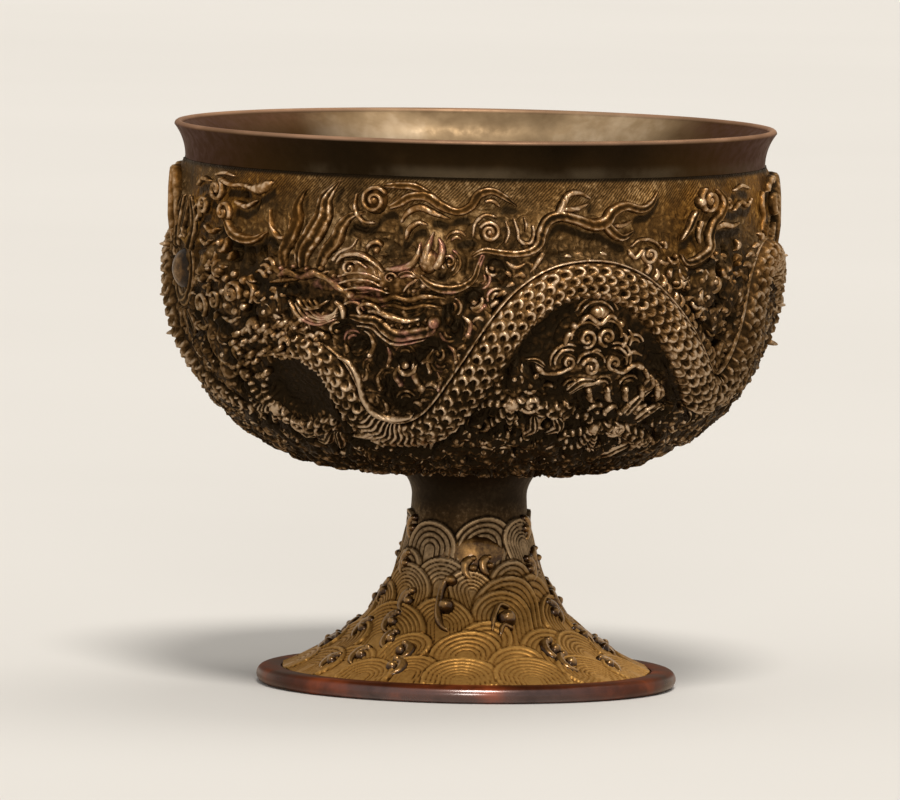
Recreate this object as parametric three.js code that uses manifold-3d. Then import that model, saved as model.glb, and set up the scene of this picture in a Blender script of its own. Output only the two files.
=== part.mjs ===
// A bronze stem cup in the old Chinese manner, in millimetres, +Z up, standing on z = 0 round the Z axis.
// A smooth liner with a flared lip drops into a cast outer shell. High-relief castings are soldered to the
// shell's wall: on each half a dragon with its head, jaw, crest, mane and legs, a flaming pearl and clouds.
// A hollow stem, spreading into a foot carved with waves, is pulled up against the shell by a stud, washer
// and nut inside the stem, and its edge sits in the rebate of a plain copper-red foot ring.
// The front of the cup faces -Y. The relief is laid out to the belly's girth: its places are written as
// [degrees, down], degrees from the front towards +X and relief units down the wall from the shell's top, and
// a bare size in it is in relief units too. A relief unit is 1/275 of the girth, which here is 1 mm.

import * as THREE from "three";
import { mergeVertices } from "three/addons/utils/BufferGeometryUtils.js";
import Module from "manifold-3d";

const wasm = await Module();
wasm.setup();

// Overall sizes
const CUP_HEIGHT = 84;
const LIP_RADIUS = 45;
const NECK_RADIUS = 43.3;
const SHELL_TOP_Z = 78.4;
const BELLY_RADIUS = 43.7;
const BELLY_Z = 63;
const BOWL_BASE_Z = 32;
const BOWL_FULLNESS = 2.5; // exponent of the belly's curve: 2 is an ellipse, more is squarer

// Walls and clearances
const SHELL_WALL = 1.6;
const LINER_WALL = 1.1;
const LIP_EDGE = 1.2;
const NEST_GAP = 0.3; // between pieces that drop into one another
const SEAT_GAP = 0.2; // solder under a casting on the wall
const SIDE_GAP = 0.35; // between neighbouring castings

// Stem and foot
const STEM_TOP_RADIUS = 10.4;
const STEM_WAIST_RADIUS = 8.6;
const STEM_WAIST_Z = 28.5;
const STEM_BORE_RADIUS = 6.6;
const STEM_WEB = 2.6; // the plate across the stem's top that the stud passes through
const STEM_SWELL = 0.3; // how much the stem widens before the foot spreads
const STEM_SPREAD_Z = 17.5; // where the stem starts to spread
const FOOT_BEND_RADIUS = 12.5; // the corner that the foot's sweep rounds off
const FOOT_BEND_Z = 8.5;
const FOOT_WALL = 1.7;
const FOOT_EDGE_RADIUS = 27.4;
const FOOT_EDGE_Z = 2.2;
const RING_RADIUS = 31.4;
const RING_HEIGHT = 2.6;
const RING_SHELF = 1; // height of the ledge that carries the foot
const RING_SHELF_REACH = 1.7;

// Waves on the foot. Each row's arches rise to `top` and meet at `dip`, as shares of the way down from the
// waist.
const WAVE_COUNT = 10;
const WAVE_STEP = 0.5; // how far each row stands out from the row above it
const WAVE_ROWS = [
  { top: 0.1, dip: 0.24 },
  { top: 0.33, dip: 0.47 },
  { top: 0.56, dip: 0.69 },
  { top: 0.77, dip: 0.89 },
];

// Stud, washer and nut
const STUD_RADIUS = 2;
const STUD_HEAD_RADIUS = 5;
const STUD_HEAD_HEIGHT = 0.8;
const STUD_HOLE_GAP = 0.3;
const STUD_END = 1.2; // how far the stud shows below the nut
const STUD_POINT = 0.5; // chamfer on the stud's end
const THREAD_GAP = 0.1;
const WASHER_RADIUS = 5;
const WASHER_HEIGHT = 0.8;
const NUT_ACROSS_FLATS = 7;
const NUT_HEIGHT = 3;

// Relief
const GIRTH_UNITS = 275; // relief units round the belly
const BODY_WIDTH = 6;
const BODY_HEIGHT = 2.7;
const CURL_WIDTH = 0.85;
const CLOUD_WIDTH = 1.5;
const CLOUD_TIP = 0.4;
const CLOUD_HEIGHT = 1.3;
const PEARL_RADIUS = 2.8;
const PEARL_HEIGHT = 3;
const FLAME_REACH = 1.3; // from the pearl's side to the middle of its flames

// Net of the shell's ground. Every third knot of it rises in a mound where there is room.
const NET_COLUMNS = 60; // a multiple of 6, so that both halves are alike
const NET_TOP = 11.5; // relief units down to the first row of mounds
const NET_ROW_GAP = 3.6; // relief units from row to row
const NET_END = 0.5; // share of the belly's radius at which the net ends, towards the stem
const MOUND_HEIGHT = 1.6;

// Fineness of the round shapes
const ROUND_STEPS = 36;
const BELLY_STEPS = 6;
const SMALL_ROUND_STEPS = 16;
const WAVE_STEPS = 5; // sides of one wave's arch

// Materials
const metal = (color, roughness) => new THREE.MeshStandardMaterial({ color, roughness, metalness: 0.9 });
const DARK_BRONZE = metal(0x4a3a24, 0.5);
const PALE_BRONZE = metal(0x8a6f45, 0.35);
const RELIEF_BRONZE = metal(0x6b5536, 0.42);
const FOOT_BRONZE = metal(0x80642e, 0.5);
const COPPER_RED = metal(0x5e2a18, 0.3);
const BRIGHT_BRASS = metal(0x9a7a44, 0.4);

const radians = THREE.MathUtils.degToRad;

// Solids

function toSolid(geometry) {
  const bare = geometry.clone();
  bare.deleteAttribute("normal");
  bare.deleteAttribute("uv");
  const merged = mergeVertices(bare, 1e-4);
  const mesh = new wasm.Mesh({
    numProp: 3,
    vertProperties: merged.attributes.position.array,
    triVerts: new Uint32Array(merged.index.array),
  });
  return new wasm.Manifold(mesh);
}

function toGeometry(solid) {
  const mesh = solid.getMesh();
  const positions = [];
  for (let i = 0; i < mesh.numVert; i++) {
    const first = i * mesh.numProp;
    positions.push(...mesh.vertProperties.slice(first, first + 3));
  }
  const geometry = new THREE.BufferGeometry();
  geometry.setAttribute("position", new THREE.Float32BufferAttribute(positions, 3));
  geometry.setIndex([...mesh.triVerts]);
  geometry.computeVertexNormals();
  return geometry;
}

// Joins strands that run into one another, and drops the slivers that a join leaves.
const join = (solids) => largest(solids.reduce((whole, next) => whole.add(next)));
const cut = (solid, tools) => largest(tools.reduce((left, tool) => left.subtract(tool), solid));
const largest = (solid) => solid.decompose().reduce((a, b) => (b.volume() > a.volume() ? b : a));

function facingOut(geometry) {
  const solid = toSolid(geometry);
  if (solid.volume() > 0) return solid;
  const turned = geometry.clone();
  const index = turned.index.array;
  for (let i = 0; i < index.length; i += 3) [index[i], index[i + 1]] = [index[i + 1], index[i]];
  return toSolid(turned);
}

// A revolved solid. Its outline, a list of [radius, z], starts and ends on the axis or else is a closed loop.
function revolve(outline, segments = ROUND_STEPS) {
  const points = outline.map(([radius, z]) => new THREE.Vector2(radius, z));
  if (outline[0][0] > 0) points.push(points[0].clone());
  const lathe = new THREE.LatheGeometry(points, segments);
  lathe.rotateX(Math.PI / 2);
  return facingOut(lathe);
}

// A solid skinned over rings of equal numbers of points. Its ends are capped, or joined to one another. In a
// staggered one, every second place of the rings is set back by half a ring.
function skin(rings, { endless = false, staggered = false } = {}) {
  const count = rings[0].length;
  const index = [];
  for (let i = 0; i + 1 < rings.length + (endless ? 1 : 0); i++) {
    const next = (i + 1) % rings.length;
    for (let k = 0; k < count; k++) {
      const k1 = (k + 1) % count;
      const [a, b, c, d] = [i * count + k, i * count + k1, next * count + k1, next * count + k];
      if (staggered && k % 2) index.push(a, b, d, b, c, d);
      else index.push(a, b, c, a, c, d);
    }
  }
  const last = (rings.length - 1) * count;
  for (let k = 1; !endless && k + 1 < count; k++) {
    index.push(0, k + 1, k);
    index.push(last, last + k, last + k + 1);
  }
  const geometry = new THREE.BufferGeometry();
  geometry.setAttribute("position", new THREE.Float32BufferAttribute(rings.flat(2), 3));
  geometry.setIndex(index);
  return facingOut(geometry);
}

// An outline of [radius, z] stood up at a turn round the axis from the front.
function turned(outline, turn) {
  return outline.map(([radius, z]) => [radius * Math.sin(turn), -radius * Math.cos(turn), z]);
}

const curvePoints = (curve, steps) => curve.getPoints(steps).map((p) => [p.x, p.y]);

// A value that runs evenly through a list, read at a share from 0 to 1.
const through = (...values) => (share) => {
  const place = share * (values.length - 1);
  const i = Math.max(0, Math.min(values.length - 2, Math.floor(place)));
  const next = values[i + 1] ?? values[i];
  return values[i] + (next - values[i]) * (place - i);
};

// The bowl's wall

// Radius at a height of the shell's outside, or of the same curve set in by a wall.
function wallRadius(z, inset = 0) {
  const belly = BELLY_RADIUS - inset;
  const rise = (z - BELLY_Z) / (SHELL_TOP_Z - BELLY_Z);
  if (rise >= 0) return belly - (BELLY_RADIUS - NECK_RADIUS) * rise ** 2;
  const drop = Math.min(1, (BELLY_Z - z) / (BELLY_Z - BOWL_BASE_Z - inset));
  return belly * (1 - drop ** BOWL_FULLNESS) ** (1 / BOWL_FULLNESS);
}

// The same outline as [radius, z] from the shell's top edge down to a flat floor, which runs in to `middle`.
function wallOutline({ inset = 0, floorZ = -Infinity, middle = 0, steps = BELLY_STEPS }) {
  const outline = [];
  for (const z of [SHELL_TOP_Z, (SHELL_TOP_Z + BELLY_Z) / 2]) outline.push([wallRadius(z, inset), z]);
  const depth = BELLY_Z - BOWL_BASE_Z - inset;
  for (let i = 0; i < steps; i++) {
    const turn = (Math.PI / 2) * (i / steps);
    const z = BELLY_Z - depth * Math.sin(turn) ** (2 / BOWL_FULLNESS);
    if (z > floorZ) outline.push([(BELLY_RADIUS - inset) * Math.cos(turn) ** (2 / BOWL_FULLNESS), z]);
  }
  const lowest = Math.max(floorZ, BELLY_Z - depth);
  if (lowest === floorZ) outline.push([wallRadius(floorZ, inset), floorZ]);
  outline.push([middle, lowest]);
  return outline;
}

// The wall measured along its own length.
const wallTable = wallOutline({ steps: 400 });
const wallLengths = [0];
for (let i = 1; i < wallTable.length; i++) {
  const [[r0, z0], [r1, z1]] = [wallTable[i - 1], wallTable[i]];
  wallLengths.push(wallLengths[i - 1] + Math.hypot(r1 - r0, z1 - z0));
}

function wallAt(length) {
  let i = 1;
  while (i < wallLengths.length - 1 && wallLengths[i] < length) i++;
  const span = wallLengths[i] - wallLengths[i - 1];
  const share = (length - wallLengths[i - 1]) / span;
  const [[r0, z0], [r1, z1]] = [wallTable[i - 1], wallTable[i]];
  const [slopeR, slopeZ] = [(r1 - r0) / span, (z1 - z0) / span];
  return { radius: r0 + (r1 - r0) * share, z: z0 + (z1 - z0) * share, outRadius: -slopeZ, outZ: slopeR };
}

const RELIEF_UNIT = (2 * Math.PI * BELLY_RADIUS) / GIRTH_UNITS;
const sized = (...values) => through(...values.map((value) => value * RELIEF_UNIT));

// The point over a place on the wall, so many millimetres off it.
function onWall([degrees, down], out) {
  const wall = wallAt(down * RELIEF_UNIT);
  const radius = wall.radius + wall.outRadius * out;
  const turn = radians(degrees);
  return [radius * Math.sin(turn), -radius * Math.cos(turn), wall.z + wall.outZ * out];
}

const perDegree = (down) => radians(1) * wallAt(down * RELIEF_UNIT).radius;

// The place that lies so many millimetres to the right of, and below, another.
function beside([degrees, down], right, below) {
  return [degrees + right / perDegree(down), down + below / RELIEF_UNIT];
}

// Relief on the wall

// Cross-sections of a strand from one edge over to the other, as shares of its half width and its height. The
// wide one has a last point in the middle of its underside, which keeps it on the curved wall.
const ROUND_TOP = [[1, 0], [0.88, 0.6], [0.4, 0.97], [-0.4, 0.97], [-0.88, 0.6], [-1, 0], [0, 0]];
const PLAIN_TOP = [[1, 0], [0.55, 0.9], [-0.55, 0.9], [-1, 0]];

// A strand through places on the wall. Its width and height are functions of the share along it.
function strand(places, width, height, { steps = places.length + 1, top = PLAIN_TOP, grow = 0 } = {}) {
  const route = new THREE.CatmullRomCurve3(
    places.map(([degrees, down]) => new THREE.Vector3(degrees, down, 0)),
    false,
    "centripetal",
  );
  const rings = [];
  for (let i = 0; i <= steps; i++) {
    const share = i / steps;
    const at = route.getPoint(share);
    const along = route.getTangent(share);
    const [right, below] = [along.x * perDegree(at.y), along.y * RELIEF_UNIT];
    const length = Math.hypot(right, below);
    const half = width(share) / 2 + grow;
    const tall = height(share) + grow;
    const ring = top.map(([across, up]) => {
      const side = (across * half) / length;
      return onWall(beside([at.x, at.y], -side * below, side * right), SEAT_GAP + up * tall);
    });
    rings.push(ring);
  }
  return skin(rings);
}

// Places that wind outwards round a centre, for the start of a strand. The radius is in relief units.
function curl(centre, radius, { start = 0, hand = 1, turns = 1.25, steps = 9 } = {}) {
  const places = [];
  for (let i = 0; i <= steps; i++) {
    const share = i / steps;
    const turn = radians(start) - hand * (1 - share) * turns * 2 * Math.PI;
    const reach = CURL_WIDTH / 2 + (radius * RELIEF_UNIT - CURL_WIDTH) * share;
    places.push(beside(centre, reach * Math.cos(turn), reach * Math.sin(turn)));
  }
  return places;
}

// A rounded boss on the wall: rings that close in as they rise. It is sized in millimetres.
const BOSS_RINGS = [[1, 0], [0.88, 0.65], [0.4, 1]];
function boss(centre, radius, height, { sides = 6, rings = BOSS_RINGS, grow = 0 } = {}) {
  return skin(
    rings.map(([reach, up]) => {
      const ring = [];
      for (let k = 0; k < sides; k++) {
        const turn = (2 * Math.PI * k) / sides;
        const far = (radius + grow) * reach;
        const place = beside(centre, far * Math.cos(turn), far * Math.sin(turn));
        ring.push(onWall(place, SEAT_GAP + (height + grow) * up));
      }
      return ring;
    }),
  );
}

// A band of cloud: a curl that opens into a ribbon with a pointed end.
function curledRibbon(curled, places) {
  const route = [...curled, ...places];
  const joinShare = curled.length / route.length;
  const width = (share) => {
    if (share < joinShare) return CURL_WIDTH;
    const opening = through(CURL_WIDTH, CLOUD_WIDTH, CLOUD_WIDTH * 0.9, CLOUD_TIP);
    return opening((share - joinShare) / (1 - joinShare));
  };
  return strand(route, width, through(CLOUD_HEIGHT, CLOUD_HEIGHT, CLOUD_HEIGHT * 0.6));
}

function ribbon(places, share = 1) {
  const width = CLOUD_WIDTH * share;
  return strand(places, through(width * 0.7, width, CLOUD_TIP), through(CLOUD_HEIGHT, CLOUD_HEIGHT * 0.6));
}

// The dragon

const SPINE = [
  [-37.4, 24.6], [-31.8, 26.4], [-28, 28.8], [-26.3, 32.6], [-24.4, 36.6], [-19.4, 39.5], [-13, 39.4],
  [-7, 36.8], [-2.4, 32.2], [1.8, 27.4], [5.6, 22.8], [9.8, 18.7], [14.6, 15.9], [20, 14.7], [26, 14.8],
  [31.6, 16.3], [37.4, 19.4], [43, 23.4], [49, 28], [55, 31.8], [60.6, 32.2], [65, 28.6], [67.2, 22.6],
  [69.4, 17], [73.6, 13.6], [80, 12.8], [88, 16], [95, 23], [103, 29.4], [114, 34], [126, 38],
];
const SPINE_SWELL = through(
  0.7, 0.86, 0.95, 1, 1, 1, 1, 1, 1, 1, 1.08, 1.2, 1.16, 1, 0.95, 0.9, 0.8, 0.65, 0.45, 0.2,
);

function dragonBody(grow = 0) {
  const width = (share) => BODY_WIDTH * SPINE_SWELL(share);
  const height = (share) => BODY_HEIGHT * (0.3 + 0.7 * Math.min(1, SPINE_SWELL(share)));
  return strand(SPINE, width, height, { steps: 42, top: ROUND_TOP, grow });
}

function dragonHead(grow = 0) {
  const skull = strand(
    [[-33, 16.4], [-26, 15], [-19, 14.6], [-13, 14.3], [-8.4, 13.6]],
    sized(3, 5.2, 5.4, 4.4, 4, 3),
    sized(1.6, 2.6, 3, 2.6, 2.4, 1.9),
    { top: ROUND_TOP, grow },
  );
  const nose = strand([[-9.4, 13.2], [-8.6, 10.8], [-7.6, 9]], sized(3, 0.8), sized(2.3, 1.5), { grow });
  const browPlaces = [[-25.6, 13.6], [-21.5, 11.8], [-17, 12.4], [-14, 13.8]];
  const brow = strand(browPlaces, sized(1.9), sized(2.9), { grow });
  const eye = boss([-15.6, 15], RELIEF_UNIT, 3 * RELIEF_UNIT, { grow });
  const lip = strand([[-23, 17.3], [-17, 17.2], [-11, 16.4]], sized(1.6), sized(2.2), { grow });
  return join([skull, nose, brow, eye, lip]);
}

function dragonJaw(grow = 0) {
  const bone = strand(
    [[-27.6, 19.9], [-22.5, 20], [-19, 21], [-16.4, 22.7], [-12, 22.8], [-8.8, 22.2], [-7, 20.9]],
    sized(1.6, 2, 1.7, 1.5, 1.3),
    sized(2.3, 2, 1.9, 1.9),
    { grow },
  );
  const gills = [
    [[-36.6, 19], [-34.6, 21], [-30.6, 22], [-26.6, 20.9]],
    [[-33.6, 18.8], [-31, 20.4], [-27, 20]],
  ];
  const tongue = strand([[-26.6, 19.3], [-20, 19], [-14, 19.4], [-10, 19]], sized(0.9), sized(1.4), { grow });
  return join([bone, tongue, ...gills.map((places) => strand(places, sized(1.3), sized(1.9), { grow }))]);
}

// Hair that stands up in flames behind the brow.
function dragonCrest() {
  const root = strand([[-42, 14.4], [-36, 14.1], [-27.6, 12]], sized(1.3), sized(1.8));
  const flames = [
    [[-38.4, 13.8], [-36, 9.8], [-34.8, 6.8], [-32.2, 3.6]],
    [[-33.4, 13.6], [-31, 9.2], [-30, 6], [-26.8, 2.4]],
    [[-29.8, 12.8], [-27.6, 9.8], [-26, 7.4], [-22.6, 5.8]],
  ];
  const hairs = flames.map((places) => strand(places, sized(1.8, 2.2, 1.6, 0.4), sized(1.7, 1)));
  return join([root, ...hairs]);
}

// Locks of hair that hang behind the cheek.
function dragonMane() {
  const knot = strand([[-38.4, 17.2], [-39.6, 20.2], [-43.6, 22.4]], sized(1.6), sized(1.7));
  const locks = [
    [[-38.6, 17.4], [-42, 17], [-45.6, 18.2], [-47, 20]],
    [[-39.6, 19.8], [-43, 19.6], [-46, 21], [-49.4, 20.8]],
    [[-41.6, 21.6], [-45.4, 22.4], [-48, 24.4], [-51.4, 24]],
  ];
  return join([knot, ...locks.map((places) => strand(places, sized(1.4, 1.5, 0.5), sized(1.6, 1)))]);
}

// A leg: a swelling thigh and shank that end in a paw with spread talons.
function dragonLeg({ limb, talons }) {
  const paw = limb[limb.length - 1];
  const flesh = strand(limb, sized(3.6, 3.4, 2.4, 2, 2.6), sized(2, 2, 1.7, 1.8));
  const claws = talons.map((talon) => strand([paw, ...talon], sized(1.6, 1.2, 0.35), sized(1.5, 1.9, 0.9)));
  return join([flesh, ...claws]);
}

const FORELEG_LEFT = {
  limb: [[-32, 37.6], [-37.6, 39.4], [-43.6, 38.8], [-47.6, 36]],
  talons: [[[-48.4, 32.6], [-46.2, 30.6]], [[-52, 33.2], [-52.4, 30]], [[-54.6, 36.4], [-57.6, 35]]],
};
const FORELEG_RIGHT = {
  limb: [[22.6, 34.2], [17.6, 33.4], [12.6, 33], [7.4, 33.6]],
  talons: [[[5.2, 30.8], [6.6, 28.4]], [[3.4, 33.4], [1.4, 35]], [[5, 37], [2.6, 39.4]]],
};
const HINDLEG = {
  limb: [[50, 42.6], [42, 40], [35, 38.2], [29, 38]],
  talons: [[[25.6, 35.8], [22.4, 36.4]], [[24.8, 39.2], [20.6, 39.8]], [[28, 42.4], [24.4, 44.2]]],
};

// Clouds

function upperScroll() {
  return join([
    curledRibbon(curl([-19, 3.8], 2.2, { start: 60, hand: -1 }), [
      [-15, 5], [-11, 3], [-7, 3.6], [-3.4, 4.9], [-0.6, 3.2], [2.4, 1.9], [7, 3.6],
    ]),
    ribbon([[-19.6, 1.9], [-15, 1.5], [-11, 3]], 0.75),
  ]);
}

function longRibbon() {
  return join([
    curledRibbon(curl([3.2, 7.6], 2, { start: 130, hand: -1 }), [
      [4.4, 10.2], [8, 10.4], [11.6, 9.4], [13.6, 7], [16, 5.5], [20, 6.2], [24.4, 7], [28, 5.2],
      [32, 4.1], [35.4, 3.9], [38.4, 1.9],
    ]),
    ribbon([[14.4, 6.4], [16, 3.4], [19, 2.5], [22.6, 2.9]], 0.85),
    ribbon([[25, 6.9], [28, 8.4], [32.6, 7.6]]),
  ]);
}

function hangingKnot() {
  return join([
    curledRibbon(curl([50, 4], 2.4, { start: 60, hand: 1 }), [[51.6, 8.6], [49.4, 11.4], [45, 12.7]]),
    ribbon([[48.6, 5.4], [45, 7.4], [43.6, 10.2]], 0.9),
    ribbon([[51.8, 5.4], [56.6, 7.2], [61.4, 8]], 0.8),
  ]);
}

const heap = ([degrees, down, radius]) => boss([degrees, down], radius * RELIEF_UNIT, CLOUD_HEIGHT);

// The heaped cloud under the arch of the dragon's back.
function archCloud() {
  const leftCurl = curl([22.2, 23.4], 1.9, { start: 100, hand: 1 });
  const rightCurl = curl([27.4, 23.2], 1.9, { start: 80, hand: -1 });
  const left = curledRibbon(leftCurl, [[17.6, 25.8], [14.6, 28], [11, 26.8]]);
  const right = curledRibbon(rightCurl, [[31, 26.2], [34, 28.2], [37.6, 27.6]]);
  const heaps = [[24.8, 21, 1.6], [24.6, 25.6, 2], [20, 26.8, 1.6], [29, 26.8, 1.6]];
  return join([left, right, ...heaps.map(heap)]);
}

function sideCloud() {
  return join([
    curledRibbon(curl([-58.6, 3.8], 2, { start: 90, hand: 1 }), [
      [-57.4, 7.6], [-53.6, 9.8], [-49.6, 9.6], [-45, 10],
    ]),
    heap([-61.2, 6.2, 1.9]),
    ribbon([[-58.6, 2.1], [-54, 1.7], [-50, 3.2], [-44.6, 2.4]]),
  ]);
}

const FLOWER_HEAPS = [
  [-64, 18.6, 1.6], [-60.6, 19.8, 1.6], [-57, 19.4, 1.7], [-53.4, 18.4, 1.9], [-51, 16, 1.5],
];
function flowerCloud() {
  return join(FLOWER_HEAPS.map(heap));
}

// The flaming pearl

const PEARL_PLACE = [-78, 16];
const PEARL_RINGS = [[0.8, 0], [1, 0.38], [0.92, 0.68], [0.62, 0.92], [0.2, 1]];
const pearl = () => boss(PEARL_PLACE, PEARL_RADIUS, PEARL_HEIGHT, { sides: 12, rings: PEARL_RINGS });

// A ring of flame round the pearl's underside, with a tongue that streams up from each end.
function pearlFlames() {
  const reach = PEARL_RADIUS + FLAME_REACH;
  const [first, last, bends] = [-40, 220, 6]; // the ring's ends, in degrees clockwise from its right
  const ring = [];
  for (let i = 0; i <= bends; i++) {
    const turn = radians(first + ((last - first) * i) / bends);
    ring.push(beside(PEARL_PLACE, reach * Math.cos(turn), reach * Math.sin(turn)));
  }
  const tongue = ([degrees, down], lean) =>
    ribbon([[degrees, down], [degrees + lean, down - 4], [degrees - 1.6 * lean, down - 7.6]]);
  const band = strand(ring, through(CLOUD_WIDTH), through(CLOUD_HEIGHT));
  return join([band, tongue(ring[0], 1), tongue(ring[bends], -1)]);
}

// Mounds

// Bare places on the ground: degrees, down and radius in relief units.
const BARE_PLACES = [
  [-38, 31.8, 5], [-13, 28, 6.4], [13.5, 23.5, 4], [24, 21, 6.4], [35, 25, 3.8], [-49, 13.2, 5.4],
];

function isBare([degrees, down]) {
  const onFront = ((degrees + 90) % 180) - 90;
  return BARE_PLACES.some(([bareDegrees, bareDown, radius]) => {
    const right = (onFront - bareDegrees) * perDegree(bareDown);
    return Math.hypot(right, (down - bareDown) * RELIEF_UNIT) < radius * RELIEF_UNIT;
  });
}

// Whether a mound at a place keeps clear of the castings. It runs out at the six knots round it.
function hasRoom([degrees, down], castings) {
  const reach = Math.hypot((180 / NET_COLUMNS) * perDegree(down), NET_ROW_GAP * RELIEF_UNIT);
  const mound = boss([degrees, down], reach, MOUND_HEIGHT, { rings: [[1, 0], [0, 1]], grow: SIDE_GAP });
  return mound.intersect(castings).isEmpty();
}

// Turned parts

// Height at which the wall's curve has the radius of the stem's top: the shell is flat below it.
const seatDrop = (1 - (STEM_TOP_RADIUS / BELLY_RADIUS) ** BOWL_FULLNESS) ** (1 / BOWL_FULLNESS);
const STEM_SEAT_Z = BELLY_Z - (BELLY_Z - BOWL_BASE_Z) * seatDrop;
const SHELL_FLOOR_Z = STEM_SEAT_Z + SHELL_WALL;
const LINER_SEAT_Z = SHELL_FLOOR_Z + STUD_HEAD_HEIGHT;
const WEB_UNDER_Z = STEM_SEAT_Z - STEM_WEB;
const STUD_HOLE_RADIUS = STUD_RADIUS + STUD_HOLE_GAP;

function liner() {
  const inset = SHELL_WALL + NEST_GAP;
  const outside = wallOutline({ inset, floorZ: LINER_SEAT_Z }).reverse();
  const inside = wallOutline({ inset: inset + LINER_WALL, floorZ: LINER_SEAT_Z + LINER_WALL });
  const flare = (neck, lip) =>
    new THREE.QuadraticBezierCurve(
      new THREE.Vector2(neck, SHELL_TOP_Z),
      new THREE.Vector2(neck, (SHELL_TOP_Z + CUP_HEIGHT) / 2),
      new THREE.Vector2(lip, CUP_HEIGHT - LIP_EDGE / 2),
    );
  const innerLip = curvePoints(flare(inside[0][0], LIP_RADIUS - LIP_EDGE), 3).reverse();
  return revolve([
    ...outside,
    ...curvePoints(flare(NECK_RADIUS, LIP_RADIUS), 3),
    [LIP_RADIUS - LIP_EDGE * 0.3, CUP_HEIGHT],
    [LIP_RADIUS - LIP_EDGE * 0.7, CUP_HEIGHT],
    ...innerLip,
    ...inside.slice(1),
  ]);
}

// The shell in one casting: each outline is that of one column of the net.
function shell(castings) {
  const rows = [0, NET_TOP - NET_ROW_GAP];
  for (let down = NET_TOP; wallAt(down * RELIEF_UNIT).radius > NET_END * BELLY_RADIUS; down += NET_ROW_GAP) {
    rows.push(down);
  }
  const inside = wallOutline({ inset: SHELL_WALL, floorZ: SHELL_FLOOR_Z, middle: STUD_HOLE_RADIUS });
  const plain = [[STEM_TOP_RADIUS, STEM_SEAT_Z], [STUD_HOLE_RADIUS, STEM_SEAT_Z], ...inside.reverse()];
  const columns = [];
  for (let column = 0; column < NET_COLUMNS; column++) {
    const knots = rows.map((down, row) => {
      const place = [(360 * (column - (row % 2) / 2)) / NET_COLUMNS, down];
      const isThird = (column + row + Math.floor(row / 2)) % 3 === 2;
      const rises = isThird && down >= NET_TOP && !isBare(place) && hasRoom(place, castings);
      return onWall(place, rises ? MOUND_HEIGHT : 0);
    });
    columns.push([...knots, ...turned(plain, (2 * Math.PI * column) / NET_COLUMNS)]);
  }
  return skin(columns, { endless: true, staggered: true });
}

const footCurve = new THREE.CubicBezierCurve(
  new THREE.Vector2(STEM_WAIST_RADIUS, STEM_WAIST_Z),
  new THREE.Vector2(STEM_WAIST_RADIUS + STEM_SWELL, STEM_SPREAD_Z),
  new THREE.Vector2(FOOT_BEND_RADIUS, FOOT_BEND_Z),
  new THREE.Vector2(FOOT_EDGE_RADIUS, FOOT_EDGE_Z),
);

// A point of the foot's outline at a share of its length, moved square to it.
function onFoot(share, out) {
  const at = footCurve.getPointAt(share);
  const along = footCurve.getTangentAt(share);
  return [at.x - along.y * out, at.y + along.x * out];
}

// How far down a wave's edge lies: arches side by side, each row turned against the next by about half an
// arch.
function waveEdge({ top, dip }, row, column) {
  const turned = column + row * Math.floor(WAVE_STEPS / 2);
  const across = ((turned % WAVE_STEPS) / WAVE_STEPS) * 2 - 1;
  return dip - (dip - top) * Math.sqrt(1 - across ** 2);
}

// The stem and foot in one casting: each outline is that of one column, and the waves move from column to
// column.
function stemAndFoot() {
  const fillet = new THREE.QuadraticBezierCurve(
    new THREE.Vector2(STEM_TOP_RADIUS, STEM_SEAT_Z),
    new THREE.Vector2(STEM_WAIST_RADIUS, (STEM_SEAT_Z + STEM_WAIST_Z) / 2),
    new THREE.Vector2(STEM_WAIST_RADIUS, STEM_WAIST_Z),
  );
  const inside = [0.97, 0.8, 0.6, 0.4].map((share) => {
    const [radius, z] = onFoot(share, -FOOT_WALL);
    return [Math.max(radius, STEM_BORE_RADIUS), Math.max(z, RING_SHELF)];
  });
  const outline = (column) => {
    const waves = WAVE_ROWS.flatMap((wave, row) => {
      const edge = waveEdge(wave, row, column);
      return [onFoot(edge - 0.01, 0), onFoot(edge, WAVE_STEP)];
    });
    return [
      ...curvePoints(fillet, 2),
      ...waves,
      onFoot(1, 0),
      [FOOT_EDGE_RADIUS, RING_SHELF],
      ...inside,
      [STEM_BORE_RADIUS, WEB_UNDER_Z],
      [STUD_HOLE_RADIUS, WEB_UNDER_Z],
      [STUD_HOLE_RADIUS, STEM_SEAT_Z],
    ];
  };
  const columns = [];
  const columnCount = WAVE_COUNT * WAVE_STEPS;
  for (let column = 0; column < columnCount; column++) {
    const turn = (2 * Math.PI * column) / columnCount;
    columns.push(turned(outline(column), turn));
  }
  return skin(columns, { endless: true });
}

function footRing() {
  const roll = RING_HEIGHT / 2;
  const side = new THREE.EllipseCurve(RING_RADIUS - roll, roll, roll, roll, -Math.PI / 2, Math.PI / 2);
  const rebate = FOOT_EDGE_RADIUS + NEST_GAP;
  const shelf = FOOT_EDGE_RADIUS - RING_SHELF_REACH;
  return revolve([
    [shelf, 0],
    ...curvePoints(side, 5),
    [rebate, RING_HEIGHT],
    [rebate, RING_SHELF],
    [shelf, RING_SHELF],
  ]);
}

// The stud's head is soldered under the liner and rests on the shell's floor.
function stud() {
  const end = WEB_UNDER_Z - WASHER_HEIGHT - NUT_HEIGHT - STUD_END;
  const outline = [
    [0, end],
    [STUD_RADIUS - STUD_POINT, end],
    [STUD_RADIUS, end + STUD_POINT],
    [STUD_RADIUS, SHELL_FLOOR_Z],
    [STUD_HEAD_RADIUS, SHELL_FLOOR_Z],
    [STUD_HEAD_RADIUS, LINER_SEAT_Z],
    [0, LINER_SEAT_Z],
  ];
  return revolve(outline, SMALL_ROUND_STEPS);
}

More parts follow.
